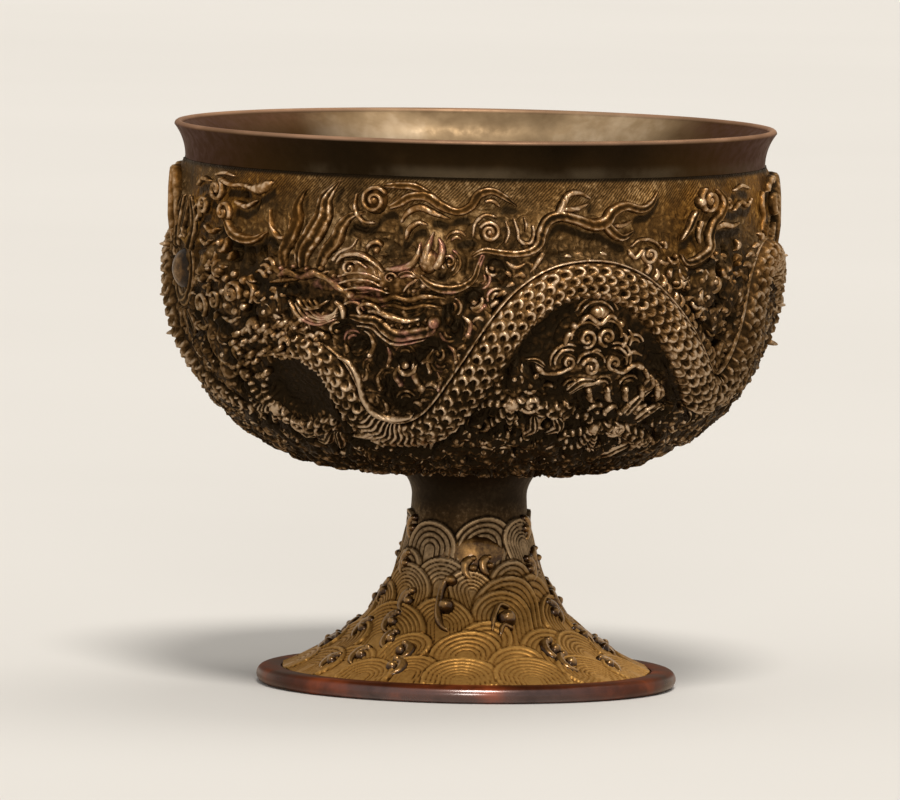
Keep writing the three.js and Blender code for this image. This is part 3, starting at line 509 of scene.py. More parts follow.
def dragon_head():
    """The head without its jaw: skull, cheek, brow, eye, folds, nose, lip and whiskers, looking right."""
    ring = wound((-15.3, 14.8), 1.15, turns=1.0, width=0.4)
    folds = [
        [(-25.8, 14.9), (-22.6, 14.2), (-19.4, 14.3), (-17, 15.1)],
        [(-25.6, 15.9), (-22.4, 15.2), (-19, 15.3), (-16.9, 16.1)],
        [(-24.6, 16.8), (-21.4, 16.3), (-18.2, 16.4), (-15.4, 17)],
    ]
    return joined([
        strand([(-34, 16), (-28, 15.6), (-22, 15.3), (-16, 15.6), (-11.4, 14.4), (-8.6, 12.6)],
               [1.6, 3.2, 4.8, 4.6, 3.8, 3.0], [0.9, 1.3, 1.8, 1.8, 1.6, 1.4], across=13, wear=0.5),
        knob((-20.6, 14.4), 4.2, 2.25, squash=0.62, sides=32, rings=8, boxy=0.7, wear=0.72),
        strand([(-39.8, 15.4), (-37, 14.6), (-34, 15.3), (-31, 14.6), (-28, 15.4), (-25.6, 16.4),
                (-23.2, 17.6)],
               [0.5, 1.3, 0.9, 1.5, 0.9, 1.3, 1.1], [1.6, 2.4, 1.9, 2.5, 2.1, 2.6, 2.4], wear=0.75),
        [knob(place, 0.6, 2.4, wear=0.8)
         for place in ((-38.2, 14.1), (-35.3, 13.7), (-32.4, 14), (-29.5, 13.8), (-26.6, 14.8))],
        knob((-23.1, 17.4), 1.0, 3.0, sides=14),
        curl((-23.2, 13.6), 1.45, start=330, turns=1.25, width=0.5, height=2.6),
        strand([(-26.2, 13.2), (-24.8, 11.9), (-21.4, 11.5), (-18.4, 12.6), (-16.4, 14)],
               [0.5, 0.9, 0.8, 0.4], [2.4, 3, 2.9]),
        strand([(-24.4, 12.6), (-21.6, 12.6), (-19.4, 13.5)], [0.35, 0.55, 0.35], [2.7, 2.9]),
        [strand(fold, [0.4, 0.6, 0.5, 0.3], [2.5, 3.0, 2.7], across=6) for fold in folds],
        strand(ring, 0.4, 2.9, across=5, step=0.15),
        knob((-15.3, 14.8), 0.5, 2.95),
        knob((-16.1, 16.3), 0.45, 2.8),
        strand([(-16.6, 13.5), (-13.8, 13.4), (-11.6, 12.7), (-10.3, 11.2), (-9.9, 9.4)],
               [0.6, 1.0, 1.1, 0.9, 0.3], [2.5, 2.9, 2.8, 2.0]),
        strand([(-13.6, 14.7), (-12, 14.3), (-10.6, 14.5)], [0.4, 0.7, 0.4], [2.6, 2.8]),
        knob((-8.4, 12.2), 1.7, 2.7, squash=1.25, sides=18, rings=7, boxy=0.8, wear=0.8),
        strand([(-8.9, 12.8), (-8.7, 10.8), (-8, 9), (-7.4, 7.8)], [1.1, 1.2, 0.8, 0.3], [3, 2.9, 1.9]),
        strand([(-7.2, 13.4), (-6, 11.7), (-5.9, 10), (-6.7, 8.6)], [1.1, 1.3, 1.0, 0.3], [2.8, 2.6, 1.6]),
        curl((-4.5, 12.2), 1.5, start=120, hand=-1, turns=1.09, width=0.5, height=1.7),
        strand([(-9.9, 14.2), (-8.3, 15.4), (-5.4, 16.2), (-2.2, 15.9), (0.1, 14.6), (1, 12.7), (1.9, 11)],
               [0.7, 1.3, 1.6, 1.4, 1.1, 0.9, 0.7], [2.7, 2.5, 2.2, 1.9, 1.7, 1.5], ridges=2),
        strand([(-13, 16.9), (-11.9, 15.7), (-10.2, 14.8)], [0.3, 0.55, 0.4], [2.3, 2.8], across=6),
        knob((-9.2, 15.8), 0.65, 2.6),
        knob((-11, 16.5), 0.5, 2.4),
        strand([(-23.4, 17.9), (-20.6, 17.6), (-17.8, 18.1), (-14.8, 17.5), (-12, 17.9), (-9, 17.3),
                (-4.8, 17.5)],
               [1.2, 0.9, 1.2, 0.8, 1.1, 0.8, 0.35], [2.3, 1.9, 2.1, 1.8, 2.0, 1.4], wear=0.7),
        strand([(-17.6, 19), (-15, 18.7), (-12.4, 19.1), (-9, 18.6), (-5.6, 18.9)],
               [0.4, 0.7, 0.6, 0.7, 0.3], [1.7, 1.9, 1.8, 1.3], wear=0.6),
        strand([(-24.8, 18.9), (-23, 18.4), (-21.4, 18.8), (-20.6, 19.8)], [0.4, 0.7, 0.6, 0.3],
               [1.9, 2.1, 1.7]),
        nest((-21.4, 15.4), (1.0, 1.7, 2.4), 20, 160, 2.2, squash=0.7),
        nest((-12.4, 15.2), (0.8, 1.5), 200, 340, 2.2),
        nest((-5.2, 12.4), (0.7, 1.4, 2.1), -70, 70, 1.5),
        nest((-3.2, 9.4), (0.8, 1.6), 190, 330, 1.3),
        nest((1.2, 14.6), (0.8, 1.5), -60, 80, 1.4),
        nest((-28.4, 12.2), (0.8, 1.5), 180, 320, 1.7),
        nest((4.6, 17.4), (0.7, 1.4), 150, 300, 1.3),
        nest((-4, 18.8), (0.7, 1.4), -80, 60, 1.4),
    ])


def dragon_jaw():
    """The dropped lower jaw with its rolled lip, the tongue, the gills and the beard."""
    gills = [
        [(-37.2 + 1.5 * i, 18.6 + 0.35 * i), (-34.6 + 1.3 * i, 20.8 - 0.05 * i),
         (-30.4 + 0.9 * i, 21.9 - 0.4 * i), (-26.4 + 0.2 * i, 21 - 0.5 * i)]
        for i in range(5)
    ]
    beard = [
        # places from the thick end to the tip, width, and the ball on the thick end
        ([(-20.2, 26.2), (-19.2, 24.8), (-19.8, 23.2), (-21.4, 22.6)], 0.9, 0.6),
        ([(-16.6, 27.6), (-16, 26.2), (-16.6, 24.8)], 0.8, 0.5),
        ([(-10.2, 31.2), (-11.4, 29.4), (-11.6, 27.2)], 1.2, 0.95),
        ([(-14.4, 30.6), (-15.4, 29.2), (-14.6, 27.8)], 1.0, 0.6),
        ([(-8.2, 28.4), (-8.6, 26.6), (-7.4, 25)], 0.8, 0.55),
        ([(-18.8, 31.4), (-19.2, 29.8), (-18.2, 28.6)], 0.8, 0.55),
        ([(-0.8, 22.8), (-0.4, 21.2), (-2, 20)], 1.0, 0.7),
        ([(-3, 26.8), (-3.4, 25.2), (-4.8, 24.4)], 0.8, 0.55),
        ([(2.2, 18.6), (0.8, 19.4), (-0.6, 18.6)], 0.8, 0.5),
        ([(-6.6, 31.2), (-6.2, 29.6), (-7, 28.4)], 0.8, 0.5),
    ]
    swirls = [
        # centre, and the angles between which the arcs run
        ((-16.6, 29.6), 150, 330), ((-13, 26), 190, 350), ((-6, 27), 30, 190),
        ((-20, 28.2), 100, 260), ((-8.6, 33), 170, 350), ((-13.6, 33.4), 180, 340),
        ((-4.2, 22.4), 60, 220), ((-23.4, 24.2), 170, 320),
    ]
    teeth = [(-16.8, 21), (-15, 21.5), (-13.2, 21.7), (-11.6, 21.5), (-10, 21.2), (-8.6, 20.6)]
    return joined([
        knob((-31, 20.2), 3.4, 1.3, squash=0.6, sides=20, wear=0.2),
        [strand(gill, [0.3, 0.6, 0.55, 0.4], [1.4, 2.1, 2.2, 1.9], across=6) for gill in gills],
        strand([(-26.6, 18.4), (-25, 19.4), (-24.6, 21)], [0.6, 1.0, 0.5], [2.1, 2.4]),
        [strand([(-35.2 + 1.3 * k, 18.3), (-33 + 1.0 * k, 19.8 - 0.2 * k),
                 (-29.6 + 0.5 * k, 19.5 - 0.35 * k)],
                [0.3, 0.55, 0.35], [1.6, 2.0, 1.7], across=6, wear=0.8)
         for k in range(4)],
        strand([(-21, 20.3), (-21.7, 19.3), (-20.4, 18.6), (-18.3, 18.9), (-17, 19.8)], [0.5, 0.7, 0.6],
               [2.2, 2.5], across=6),
        strand([(-20.2, 19.7), (-18, 19.7), (-15.4, 20.4), (-12.4, 20.9), (-9.8, 20.6)],
               [0.6, 1.1, 1.1, 0.9, 0.4], [1.7, 2.1, 2.0, 1.5]),
        strand([(-23.8, 20.5), (-20.8, 20.8), (-18.2, 21), (-16.4, 22.2), (-14.4, 23), (-11, 22.7),
                (-8.2, 22.2), (-7, 21.4)],
               [0.7, 1.4, 1.5, 1.9, 2.0, 1.9, 1.8, 1.6], [1.9, 2.4, 2.3, 2.4, 2.4, 2.3, 2.5],
               ridges=2, furrow=0.5),
        strand([(-22.6, 21.9), (-19.4, 22.1), (-17.3, 23.3), (-15, 24.3), (-12, 24.1), (-8.8, 23.5)],
               [0.35, 0.6, 0.55, 0.3], [1.4, 1.8, 1.6], across=6),
        knob((-7.2, 21), 1.2, 3.0, sides=16, rings=7),
        [knob(tooth, 0.33, 2.6, sides=8, rings=3) for tooth in teeth],
        [hook(points, width, 1.3, ball=ball, across=6, wear=0.8) for points, width, ball in beard],
        [nest(place, (0.8, 1.5), start, end, 0.9, wear=0.6) for place, start, end in swirls],
    ])


def dragon_crest():
    """Hair that stands up in grooved flames behind the brow."""
    return joined([
        strand([(-38.2, 14.4), (-38.4, 12), (-36.8, 9.4), (-35.6, 7), (-35.9, 4.8), (-34.2, 2.4)],
               [1.5, 2.0, 2.3, 2.0, 1.4, 0.3], [1.6, 2.0, 1.8, 1.5, 0.8], ridges=2, wear=0.8),
        strand([(-34.2, 14.2), (-33.9, 11.6), (-31.6, 8.8), (-29.8, 6.2), (-29.4, 3.6), (-26.6, 0.8)],
               [2.0, 2.7, 3.1, 2.8, 1.8, 0.3], [1.9, 2.4, 2.3, 1.9, 0.8], ridges=3, furrow=0.45),
        strand([(-30.2, 14), (-29, 11.6), (-26.9, 9.7), (-25.9, 7.6), (-24, 6), (-20.8, 5.3)],
               [1.6, 2.1, 2.3, 1.9, 1.2, 0.3], [1.7, 2.1, 1.9, 1.5, 0.8], ridges=2, wear=0.9),
        strand([(-42.8, 5.6), (-42.2, 8.2), (-40, 9.8), (-37.8, 9.2), (-37, 6.6)],
               [0.3, 0.6, 0.7, 0.6, 0.4], [0.9, 1.3, 1.4]),
        strand([(-43.4, 15), (-41, 14.2), (-38.4, 14.9), (-35.6, 14)], [0.4, 1.0, 1.0, 0.5],
               [1.3, 1.9, 1.7], wear=0.7),
        strand([(-36.4, 15.1), (-33.6, 14.2), (-30.8, 14.9), (-28, 14.2)], [0.4, 1.0, 0.9, 0.5],
               [1.4, 2.0, 1.8], wear=0.7),
        strand([(-42, 16.4), (-38.6, 15.9), (-34.6, 15.6)], [0.3, 0.9, 0.5], [1.3, 1.8], wear=0.7),
        strand([(-27.4, 12.8), (-25.6, 11.2), (-23.6, 10.6), (-22.6, 9.2)], [0.8, 0.9, 0.7, 0.25],
               [1.8, 1.0]),
        [strand([(-40.4 - 1.2 * k, 14.4 + 0.7 * k), (-42 - 1.3 * k, 13 + 0.9 * k),
                 (-43.6 - 1.2 * k, 13.2 + 1.0 * k)], [0.8, 0.8, 0.3], [1.5, 1.1], across=6)
         for k in range(3)],
    ])


def dragon_mane():
    """Short curling locks that hang behind the cheek."""
    rng = random.Random(3)
    locks = []
    for row in range(5):
        for k in range(9):
            degrees = -28.6 - 2.75 * k - 1.3 * (row % 2) + rng.uniform(-0.6, 0.6)
            down = 20.4 + row * 1.7 + 0.4 * k + rng.uniform(-0.3, 0.3)
            if -44 < degrees < -31 and down > 27.2:
                continue
            bend = rng.choice((-1, 1)) * rng.uniform(0.6, 1.0)
            lean = rng.uniform(0.5, 1.4)
            points = [
                (degrees, down), (degrees - 1.3, down + bend * 0.7),
                (degrees - 2.5, down + bend * 0.3 + lean * 0.5), (degrees - 2.5, down + lean + 0.5),
            ]
            width, height, ball = rng.uniform(0.9, 1.25), rng.uniform(1.5, 2.1), rng.choice((0, 0.6, 0.7))
            locks += hook(points, width, height, ball=ball, across=6, step=0.3)
    locks.append(strand([(-45, 27.2), (-41, 26.6), (-36, 26.8), (-31, 26.9)], [0.5, 0.9, 0.8, 0.5],
                        [1.6, 2.0, 1.8]))
    return joined(locks)


# Each leg: its middle line from body to paw, the bend and tip of each talon, and its locks of hair
LEGS = {
    "dragon_foreleg_left": (
        [(-32, 37.6), (-37.6, 39.4), (-43.6, 38.8), (-47.6, 36)],
        [[(-48.4, 32.6), (-46.2, 30.6)], [(-52, 33.2), (-52.4, 30)], [(-54.6, 36.4), (-57.6, 35)],
         [(-51, 38.4), (-54, 40)]],
        [[(-36, 41), (-39.4, 43), (-44, 43.6)], [(-34, 40.6), (-35.6, 43.6), (-39, 46)],
         [(-40, 41), (-44, 41.6), (-48, 41)]],
    ),
    "dragon_foreleg_right": (
        [(22.6, 34.4), (19, 34.5), (15.4, 34.2), (12.4, 33.2), (8.6, 33.4)],
        [[(5.2, 30.8), (6.6, 28.4)], [(3.4, 33.4), (1.4, 35)], [(5, 37), (2.6, 39.4)],
         [(8.6, 36.6), (9.4, 39.4)]],
        [[(20, 31.6), (23, 29.8), (27.6, 30.4)], [(19, 36.2), (20.4, 38), (18, 40)],
         [(14, 36), (14.6, 38.4), (12.6, 40.6)]],
    ),
    "dragon_hindleg": (
        [(50, 42.6), (42, 40), (35, 38.2), (29, 38)],
        [[(25.6, 35.8), (22.4, 36.4)], [(24.8, 39.2), (20.6, 39.8)], [(28, 42.4), (24.4, 44.2)],
         [(31.6, 41.8), (32.4, 44.6)]],
        [[(40, 37.4), (43, 34.6), (47, 34.4)], [(36, 36), (37.4, 32.8), (40.6, 31.4)],
         [(45, 43), (41, 45), (38, 48)]],
    ),
}


def dragon_leg(limb, talons, flames):
    """A scaled leg with a wound muscle, a paw of ribbed talons, and grooved hair that flies from it."""
    paw = limb[-1]
    parts = [
        strand(limb, [2.8, 3.6, 3.0, 2.6, 2.8], [1.5, 1.9, 1.7, 1.8], step=0.18, across=23, detail=scales),
        curl(limb[-2], 1.8, start=160, turns=1.25, height=2.0),
        knob(paw, 1.5, 2.2, sides=16),
    ]
    for bend, tip in talons:
        parts.append(strand([paw, bend, tip], [1.4, 1.5, 1.2, 0.3], [1.7, 2.1, 1.8, 0.9],
                            detail=ribbed(1.1), across=7))
    for flame in flames:
        parts.append(strand(flame, [1.2, 1.7, 1.2, 0.25], [1.4, 1.8, 0.9], ridges=3))
    return joined(parts)


# Clouds and pearl


def cloud_scroll():
    """The cloud over the dragon's brow: a curl on the left with ribbons that trail to the right."""
    return joined([
        curl((-19.2, 3.6), 2.4, start=330, turns=1.64, height=1.7),
        strand([(-17.6, 1.4), (-14.6, 1.3), (-11.4, 1.4), (-8.2, 2.3)], [0.6, 1.2, 1.3, 0.5],
               [1.4, 1.7, 1.5], ridges=2),
        strand([(-16.4, 4.6), (-14.4, 3.9), (-12.2, 2.9), (-9, 2.8), (-6.2, 4.1), (-3, 4.9), (-0.7, 4.1),
                (0.9, 2.3), (3.2, 1.8), (5.6, 2.6), (8.2, 4)],
               [0.7, 1.4, 1.4, 1.6, 1.5, 1.2, 1.4, 1.5, 1.2, 1.0, 0.3],
               [1.6, 1.8, 1.7, 1.6, 1.6, 1.5, 0.9], ridges=2),
        strand([(1.8, 3.4), (3.4, 3.2), (5, 4.2)], [0.5, 0.8, 0.3], [1.3, 1.0]),
        strand([(-14, 6.8), (-12.8, 5.3), (-10.4, 4.4), (-7.2, 5.3), (-4.4, 6)],
               [0.35, 1.0, 1.1, 0.9, 0.25], [1.1, 1.6, 1.0]),
        strand([(-13, 9.3), (-12.3, 7.6), (-10.3, 6.6), (-8.6, 7)], [0.4, 0.9, 0.8, 0.3], [1.2, 1.6, 1.2]),
        strand([(-23, 2.6), (-23.1, 5), (-21.4, 6.7), (-19, 6.9)], [0.35, 0.8, 0.4], [1.0, 1.5, 1.1]),
    ])


def cloud_ribbon():
    """The long ribbon that runs from a curl before the nose to forked ends on the right."""
    return joined([
        curl((3, 7.8), 1.9, start=200, hand=-1, turns=1.56, height=1.5),
        strand([(-0.2, 8.6), (0.2, 6.6), (2, 5.3), (4.4, 5.6)], [0.35, 0.7, 0.4], [1.1, 1.4]),
        strand([(5.9, 6), (6.6, 7.8), (5.9, 9.5)], [0.35, 0.6, 0.35], [1.1, 1.4]),
        strand([(7.4, 5.6), (8.2, 7.4), (8.8, 9.1), (10.6, 9.3), (11.3, 7.9), (11, 6.6)],
               [0.35, 0.6, 0.7, 0.35], [1.2, 1.5]),
        strand([(9.4, 5.4), (9.9, 6.8), (9.7, 7.8)], [0.35, 0.55, 0.3], [1.1, 1.3]),
        strand([(-0.4, 11.4), (1.8, 10.5), (4.8, 10.7), (7.7, 10.9), (10.7, 10.5), (12.3, 9.6), (12.9, 7.7),
                (14.1, 6), (16.2, 5.4), (19.7, 5.9), (23.2, 6.7), (25.6, 6.3), (26.9, 4.9), (29.8, 4),
                (33.4, 4.5), (35.8, 3.8), (37.8, 1.8)],
               [0.6, 1.0, 1.1, 1.2, 1.4, 1.7, 1.7, 1.6, 1.7, 2.0, 1.8, 1.5, 1.4, 1.1, 0.3],
               [1.2, 1.7, 1.8, 1.8, 2.0, 2.0, 1.9, 1.7, 0.9], ridges=2),
        strand([(16, 5.4), (17.1, 3.4), (18.2, 2.2), (20.2, 2), (22.8, 2.9)], [1.3, 1.2, 1.0, 0.8, 0.25],
               [1.7, 1.6, 0.9]),
        strand([(17, 4.4), (19.4, 4.4), (22.4, 3.5)], [0.9, 0.9, 0.25], [1.6, 0.9]),
        strand([(25.4, 6.5), (27.2, 7.8), (29.3, 8.6), (32.2, 7.6)], [1.6, 1.6, 1.1, 0.25], [1.9, 1.6, 0.9],
               ridges=2),
        strand([(27.6, 6.9), (29.6, 6.8), (31.6, 6.1)], [0.8, 0.7, 0.25], [1.5, 0.9]),
        curl((35.4, 11.2), 1.7, start=210, turns=1.25, height=1.4, tail=[(32, 11.6), (30.6, 10.2)],
             tail_width=0.8),
        strand([(31.2, 10), (33.2, 9), (36.4, 9.2), (38.4, 10.4)], [0.3, 0.6, 0.6, 0.35], [0.9, 1.3, 1.1]),
        strand([(37.8, 12), (39.4, 12.6), (41.4, 12)], [0.7, 0.7, 0.25], [1.2, 0.8]),
        strand([(13.2, 10.6), (12, 12.4), (10.6, 13.8)], [0.8, 0.9, 0.25], [1.5, 0.9]),
        strand([(6, 12), (8, 12.9), (10, 12.2)], [0.4, 0.8, 0.3], [1.1, 1.2]),
    ])


def cloud_knot():
    """The knotted cloud right of the ribbon, with its loose ends, and the curl above the tail's bend."""
    return joined([
        curl((50.8, 3.6), 2.3, start=250, turns=1.48, height=1.8),
        knob((48.6, 3.8), 1.2, 1.9, sides=14),
        strand([(53.8, 1.9), (56, 3.8), (54.4, 5.8), (52.2, 6.9), (50.9, 8.8), (51.1, 10.5), (48, 12),
                (44.8, 12.5), (43.4, 11.2)],
               [0.5, 1.2, 1.4, 1.5, 1.6, 1.6, 1.5, 1.3, 0.35], [1.3, 1.8, 1.9, 1.9, 1.7, 1.0], ridges=2),
        strand([(47.4, 5), (46, 6.6), (45, 8), (43.4, 9.4)], [1.0, 1.3, 1.0, 0.3], [1.7, 1.6, 0.9],
               ridges=2),
        strand([(48.8, 6.4), (48, 8.4), (48.6, 10)], [0.8, 0.9, 0.3], [1.5, 1.0]),
        strand([(52.6, 7.7), (56, 7.3), (59, 7.6), (62.8, 7.2)], [1.0, 1.0, 0.8, 0.25], [1.6, 1.4, 0.8]),
        curl((57.4, 4), 1.3, start=20, hand=-1, turns=1.01, width=0.5, height=1.3),
        strand([(60, 5.4), (63, 4.2), (66, 4.8), (69, 3.8)], [0.4, 0.7, 0.6, 0.25], [1.1, 1.2, 0.8]),
        strand([(60.4, 2.4), (64, 1.8), (68, 2.4)], [0.4, 0.7, 0.25], [1.0, 0.8]),
        curl((84, 5.4), 2.1, start=260, turns=1.3, height=2.1),
        strand([(80, 3.4), (81.4, 1.8), (84.6, 1.4), (87.6, 2.4)], [0.4, 0.8, 0.8, 0.4], [1.2, 1.8, 1.4]),
        strand([(85, 8), (83, 10), (79.6, 10.8), (76.4, 10)], [0.9, 1.2, 1.0, 0.3], [1.8, 1.7, 1.0],
               ridges=2),
        strand([(76, 3), (74.4, 5), (75.4, 7), (74, 9)], [0.4, 0.8, 0.7, 0.3], [1.0, 1.3, 1.0]),
    ])


def cloud_arch():
    """The heap of curls and arcs under the body's arch, on a low dome, with hooks below and beside it."""
    return joined([
        knob((24.2, 23.6), 6.4, 0.9, squash=0.82, sides=40, rings=8, boxy=0.5, wear=0.05),
        knob((24.6, 19.4), 1.9, 2.0, squash=0.62, sides=20, rings=7, boxy=0.8),
        strand([(20.6, 21.2), (22.2, 19.9), (24.6, 21), (27, 19.9), (28.8, 21)], [0.5, 0.9, 0.9, 0.5],
               [1.6, 1.9, 1.6]),
        knob((19.6, 21.4), 0.8, 1.7), knob((29.4, 21.2), 0.8, 1.7),
        curl((22.2, 23.1), 1.75, start=100, turns=1.25, width=0.7, height=1.8),
        curl((26.4, 22.9), 1.75, start=80, hand=-1, turns=1.25, width=0.7, height=1.8),
        strand([(18, 24.4), (18.6, 22.6), (19.8, 22.6)], [0.5, 0.9, 0.5], [1.3, 1.6]),
        nest((22.2, 23.1), (2.3,), 170, 330, 1.5), nest((26.6, 22.9), (2.3,), 210, 370, 1.5),
        nest((24.3, 20.6), (2.8, 3.6), 200, 340, 1.2), nest((23.8, 27.4), (2.3,), 190, 350, 1.4),
        nest((28.8, 26.7), (2.1, 2.8), 250, 380, 1.4), nest((19, 26.7), (1.9, 2.6), 160, 300, 1.2),
        nest((33, 24.4), (0.9, 1.6), 200, 350, 1.1), nest((21, 31), (0.9, 1.6), 190, 340, 1.2),
        nest((33.6, 30.6), (0.9, 1.6), 180, 330, 1.2), nest((27.4, 30.6), (0.9, 1.6), 180, 350, 1.2),
        strand([(29.6, 22.4), (30.8, 23.2), (30.2, 24.8)], [0.5, 0.8, 0.5], [1.6, 1.3]),
        strand([(31.2, 22), (32.2, 23), (31.8, 24.6)], [0.4, 0.6, 0.4], [1.3, 1.1]),
        curl((19, 26.7), 1.3, start=90, turns=1.01, width=0.6, height=1.5,
             tail=[(17.4, 28.3), (14.6, 28.4), (12.6, 27.2)]),
        strand([(10.4, 26.4), (12.6, 26.4), (14.6, 27.4)], [0.3, 0.9, 0.6], [1.0, 1.5, 1.4], ridges=2),
        curl((23.7, 27.4), 1.75, start=190, hand=-1, turns=1.17, width=0.7, height=1.8),
        curl((28.6, 26.7), 1.4, start=90, hand=-1, turns=1, width=0.7, height=1.8,
             tail=[(31, 28.2), (33.4, 27.2), (36.6, 28)]),
        strand([(31, 26.2), (33, 25.4), (35.4, 26)], [0.4, 0.8, 0.3], [1.3, 1.1]),
        strand([(20.6, 29.4), (23.6, 30.2), (26.8, 29.4)], [0.5, 0.9, 0.5], [1.3, 1.6]),
        strand([(25.6, 25), (24.4, 24.8), (23, 25.2)], [0.4, 0.6, 0.4], [1.6, 1.8]),
        [hook([(24.4 + 4.2 * k, 31), (25.4 + 4.2 * k, 32.6), (27.2 + 4 * k, 33.4)], 1.1, 1.7, ball=0.75)
         for k in range(5)],
        [hook([(30 + 4 * k, 35.2), (31.6 + 4 * k, 34), (33.4 + 4 * k, 34.8)], 0.9, 1.5, ball=0.6)
         for k in range(4)],
        [hook([(36.6 + 1.8 * k, 28.2 + 0.9 * k), (38 + 1.9 * k, 29.6 + 0.9 * k),
               (37.4 + 1.8 * k, 31.2 + 0.9 * k)], 0.9, 1.4, ball=0.5) for k in range(4)],
    ])


def cloud_side():
    """The cloud left of the crest, high on the wall."""
    return joined([
        curl((-58.8, 3.5), 2.1, start=300, hand=-1, turns=1.4,
             tail=[(-54.6, 2.6), (-50, 2.5), (-46.4, 2.9), (-42.4, 1.7)], tail_width=1.6),
        curl((-64, 5.8), 1.6, start=120, turns=1.17, width=0.55),
        curl((-56, 6.7), 1.9, start=40, turns=1.3, width=0.6),
        strand([(-55, 7.8), (-53, 9.6), (-49.6, 10.4), (-46.4, 10.2), (-43.4, 9)], [1.0, 1.6, 1.5, 1.1, 0.3],
               [1.7, 1.8, 1.4, 0.9], ridges=2),
        strand([(-68.6, 3.4), (-65.6, 2.2), (-62, 2.4)], [0.35, 0.8, 0.5], [1.0, 1.4]),
        strand([(-69.6, 7), (-67, 6), (-66, 7.4), (-67.4, 8.6)], [0.35, 0.8, 0.5], [1.0, 1.4]),
        strand([(-63.6, 9), (-60.6, 9.8), (-57.6, 9.2)], [0.4, 0.9, 0.5], [1.2, 1.6]),
        strand([(-66, 11), (-63, 11.8), (-60.4, 11)], [0.4, 0.8, 0.4], [1.0, 1.4]),
        strand([(-52.6, 5), (-49.6, 5.6), (-46.6, 4.6)], [0.6, 0.8, 0.25], [1.3, 0.9]),
        strand([(-60.4, 1.4), (-57, 1), (-53.6, 1.3)], [0.4, 0.7, 0.3], [1.0, 1.2, 0.8]),
    ])


def cloud_flower():
    """A curl ringed by beads like a flower, with the clouds beside it."""
    parts = [curl((-52, 18.4), 2.1, start=30, turns=1.48, height=1.9)]
    for k in range(8):
        turn = 2 * math.pi * k / 8
        place = (-52 + 2.9 * math.cos(turn) / BOWL.per_degree(18), 18.4 + 2.7 * math.sin(turn))
        parts.append(knob(place, 0.85, 1.6))
    parts += [
        curl((-58.6, 19.9), 1.7, start=200, hand=-1, turns=1.25, width=0.55),
        curl((-64.4, 20.6), 2.1, start=80, turns=1.4, width=0.6),
        strand([(-61.8, 17.4), (-59.6, 16.4), (-57, 17)], [0.4, 0.9, 0.4], [1.2, 1.7]),
        strand([(-68, 18), (-66.2, 16.9), (-63.6, 17.1)], [0.4, 0.9, 0.4], [1.2, 1.6]),
        strand([(-48.6, 16.4), (-46.4, 17.6), (-46.8, 19.8)], [0.4, 0.9, 0.5], [1.2, 1.7]),
        strand([(-56.6, 22), (-53.6, 22.6), (-50.4, 21.8)], [0.4, 0.9, 0.4], [1.2, 1.6]),
        strand([(-68.4, 23.6), (-65, 24.2), (-61.6, 23.4)], [0.4, 0.9, 0.4], [1.1, 1.5]),
    ]
    return joined(parts)


PEARL_PLACE = (-75, 16)


def pearl():
    """The smooth pearl that the dragon chases."""
    return knob(PEARL_PLACE, 3.3, 2.5, rings=14, sides=48, wear=0.8)


def pearl_flames():
    """Grooved flames that wrap the pearl from below and rise beside it."""
    degrees, down = PEARL_PLACE
    scale = BOWL.per_degree(down)
    turns = np.radians(np.linspace(-40, 220, 9))
    ring = [(degrees + 4.4 * math.cos(t) / scale, down + 4.6 * math.sin(t)) for t in turns]
    right, left = ring[0], ring[-1]
    return joined([
        strand(ring, [1.0, 1.7, 1.9, 1.7, 1.0], [1.2, 1.6, 1.2], ridges=3),
        strand([right, (right[0] + 1.4, right[1] - 4), (right[0] - 1.6, right[1] - 8)], [1.6, 2.0, 0.3],
               [1.8, 1.0], ridges=3),
        strand([left, (left[0] - 1.4, left[1] - 4), (left[0] + 1.6, left[1] - 8)], [1.6, 2.0, 0.3],
               [1.8, 1.0], ridges=3),
        strand([(degrees - 2, down - 4.4), (degrees - 0.4, down - 7.6), (degrees + 1.2, down - 11)],
               [0.9, 1.5, 0.3], [1.5, 0.8], ridges=2),
        strand([(-89.4, 13), (-90.6, 8), (-89.6, 3.6), (-86, 1.5), (-82.4, 2.6), (-80.6, 6.4), (-81, 11.6)],
               [0.7, 1.0, 1.1, 1.0, 1.0, 0.9, 0.5], [1.6, 2.2, 2.3, 2.2, 2.1, 1.8, 1.3]),
        [strand([(degrees + x, down + 5.6), (degrees + 1.4 * x, down + 8),
                 (degrees + 1.2 * x - 1, down + 10.4)], [1.1, 1.4, 0.3], [1.6, 0.9], ridges=2)
         for x in (-3.4, 0, 3.4)],
    ])


@functools.lru_cache(maxsize=1)
def castings():
    """Every casting of the front half, by the name of the node that it stands for."""
    made = {
        "dragon_body": dragon_body(), "dragon_head": dragon_head(), "dragon_jaw": dragon_jaw(),
        "dragon_crest": dragon_crest(), "dragon_mane": dragon_mane(),
        "pearl": pearl(), "pearl_flames": pearl_flames(),
        "cloud_scroll": cloud_scroll(), "cloud_ribbon": cloud_ribbon(), "cloud_knot": cloud_knot(),
        "cloud_arch": cloud_arch(), "cloud_side": cloud_side(), "cloud_flower": cloud_flower(),
    }
    for node, leg in LEGS.items():
        made[node] = dragon_leg(*leg)
    return made


# The ground between the castings

HALF_GIRTH = math.pi * BELLY_RADIUS
# The maps of the castings: the size of a cell and how far down they reach
COVER_CELL = 0.35
COVER_END = 66
# Mounds that the small curls gather on: the gap between two, between their rows, and their height
KNOT_GAP = 2.7
KNOT_ROW_GAP = 2.35
KNOT_HEIGHT = 1.3
# The radius that a mound of full height would have
KNOT_RADIUS = 1.9
# The mounds' first row and how far down they go, and below which drop they carry locks of hair
KNOT_TOP = 11.0
KNOT_END = 57
LOCKS_FROM = 44
# How high the ground swells under a casting, as a share of how tall the casting stands
APRON = 0.45
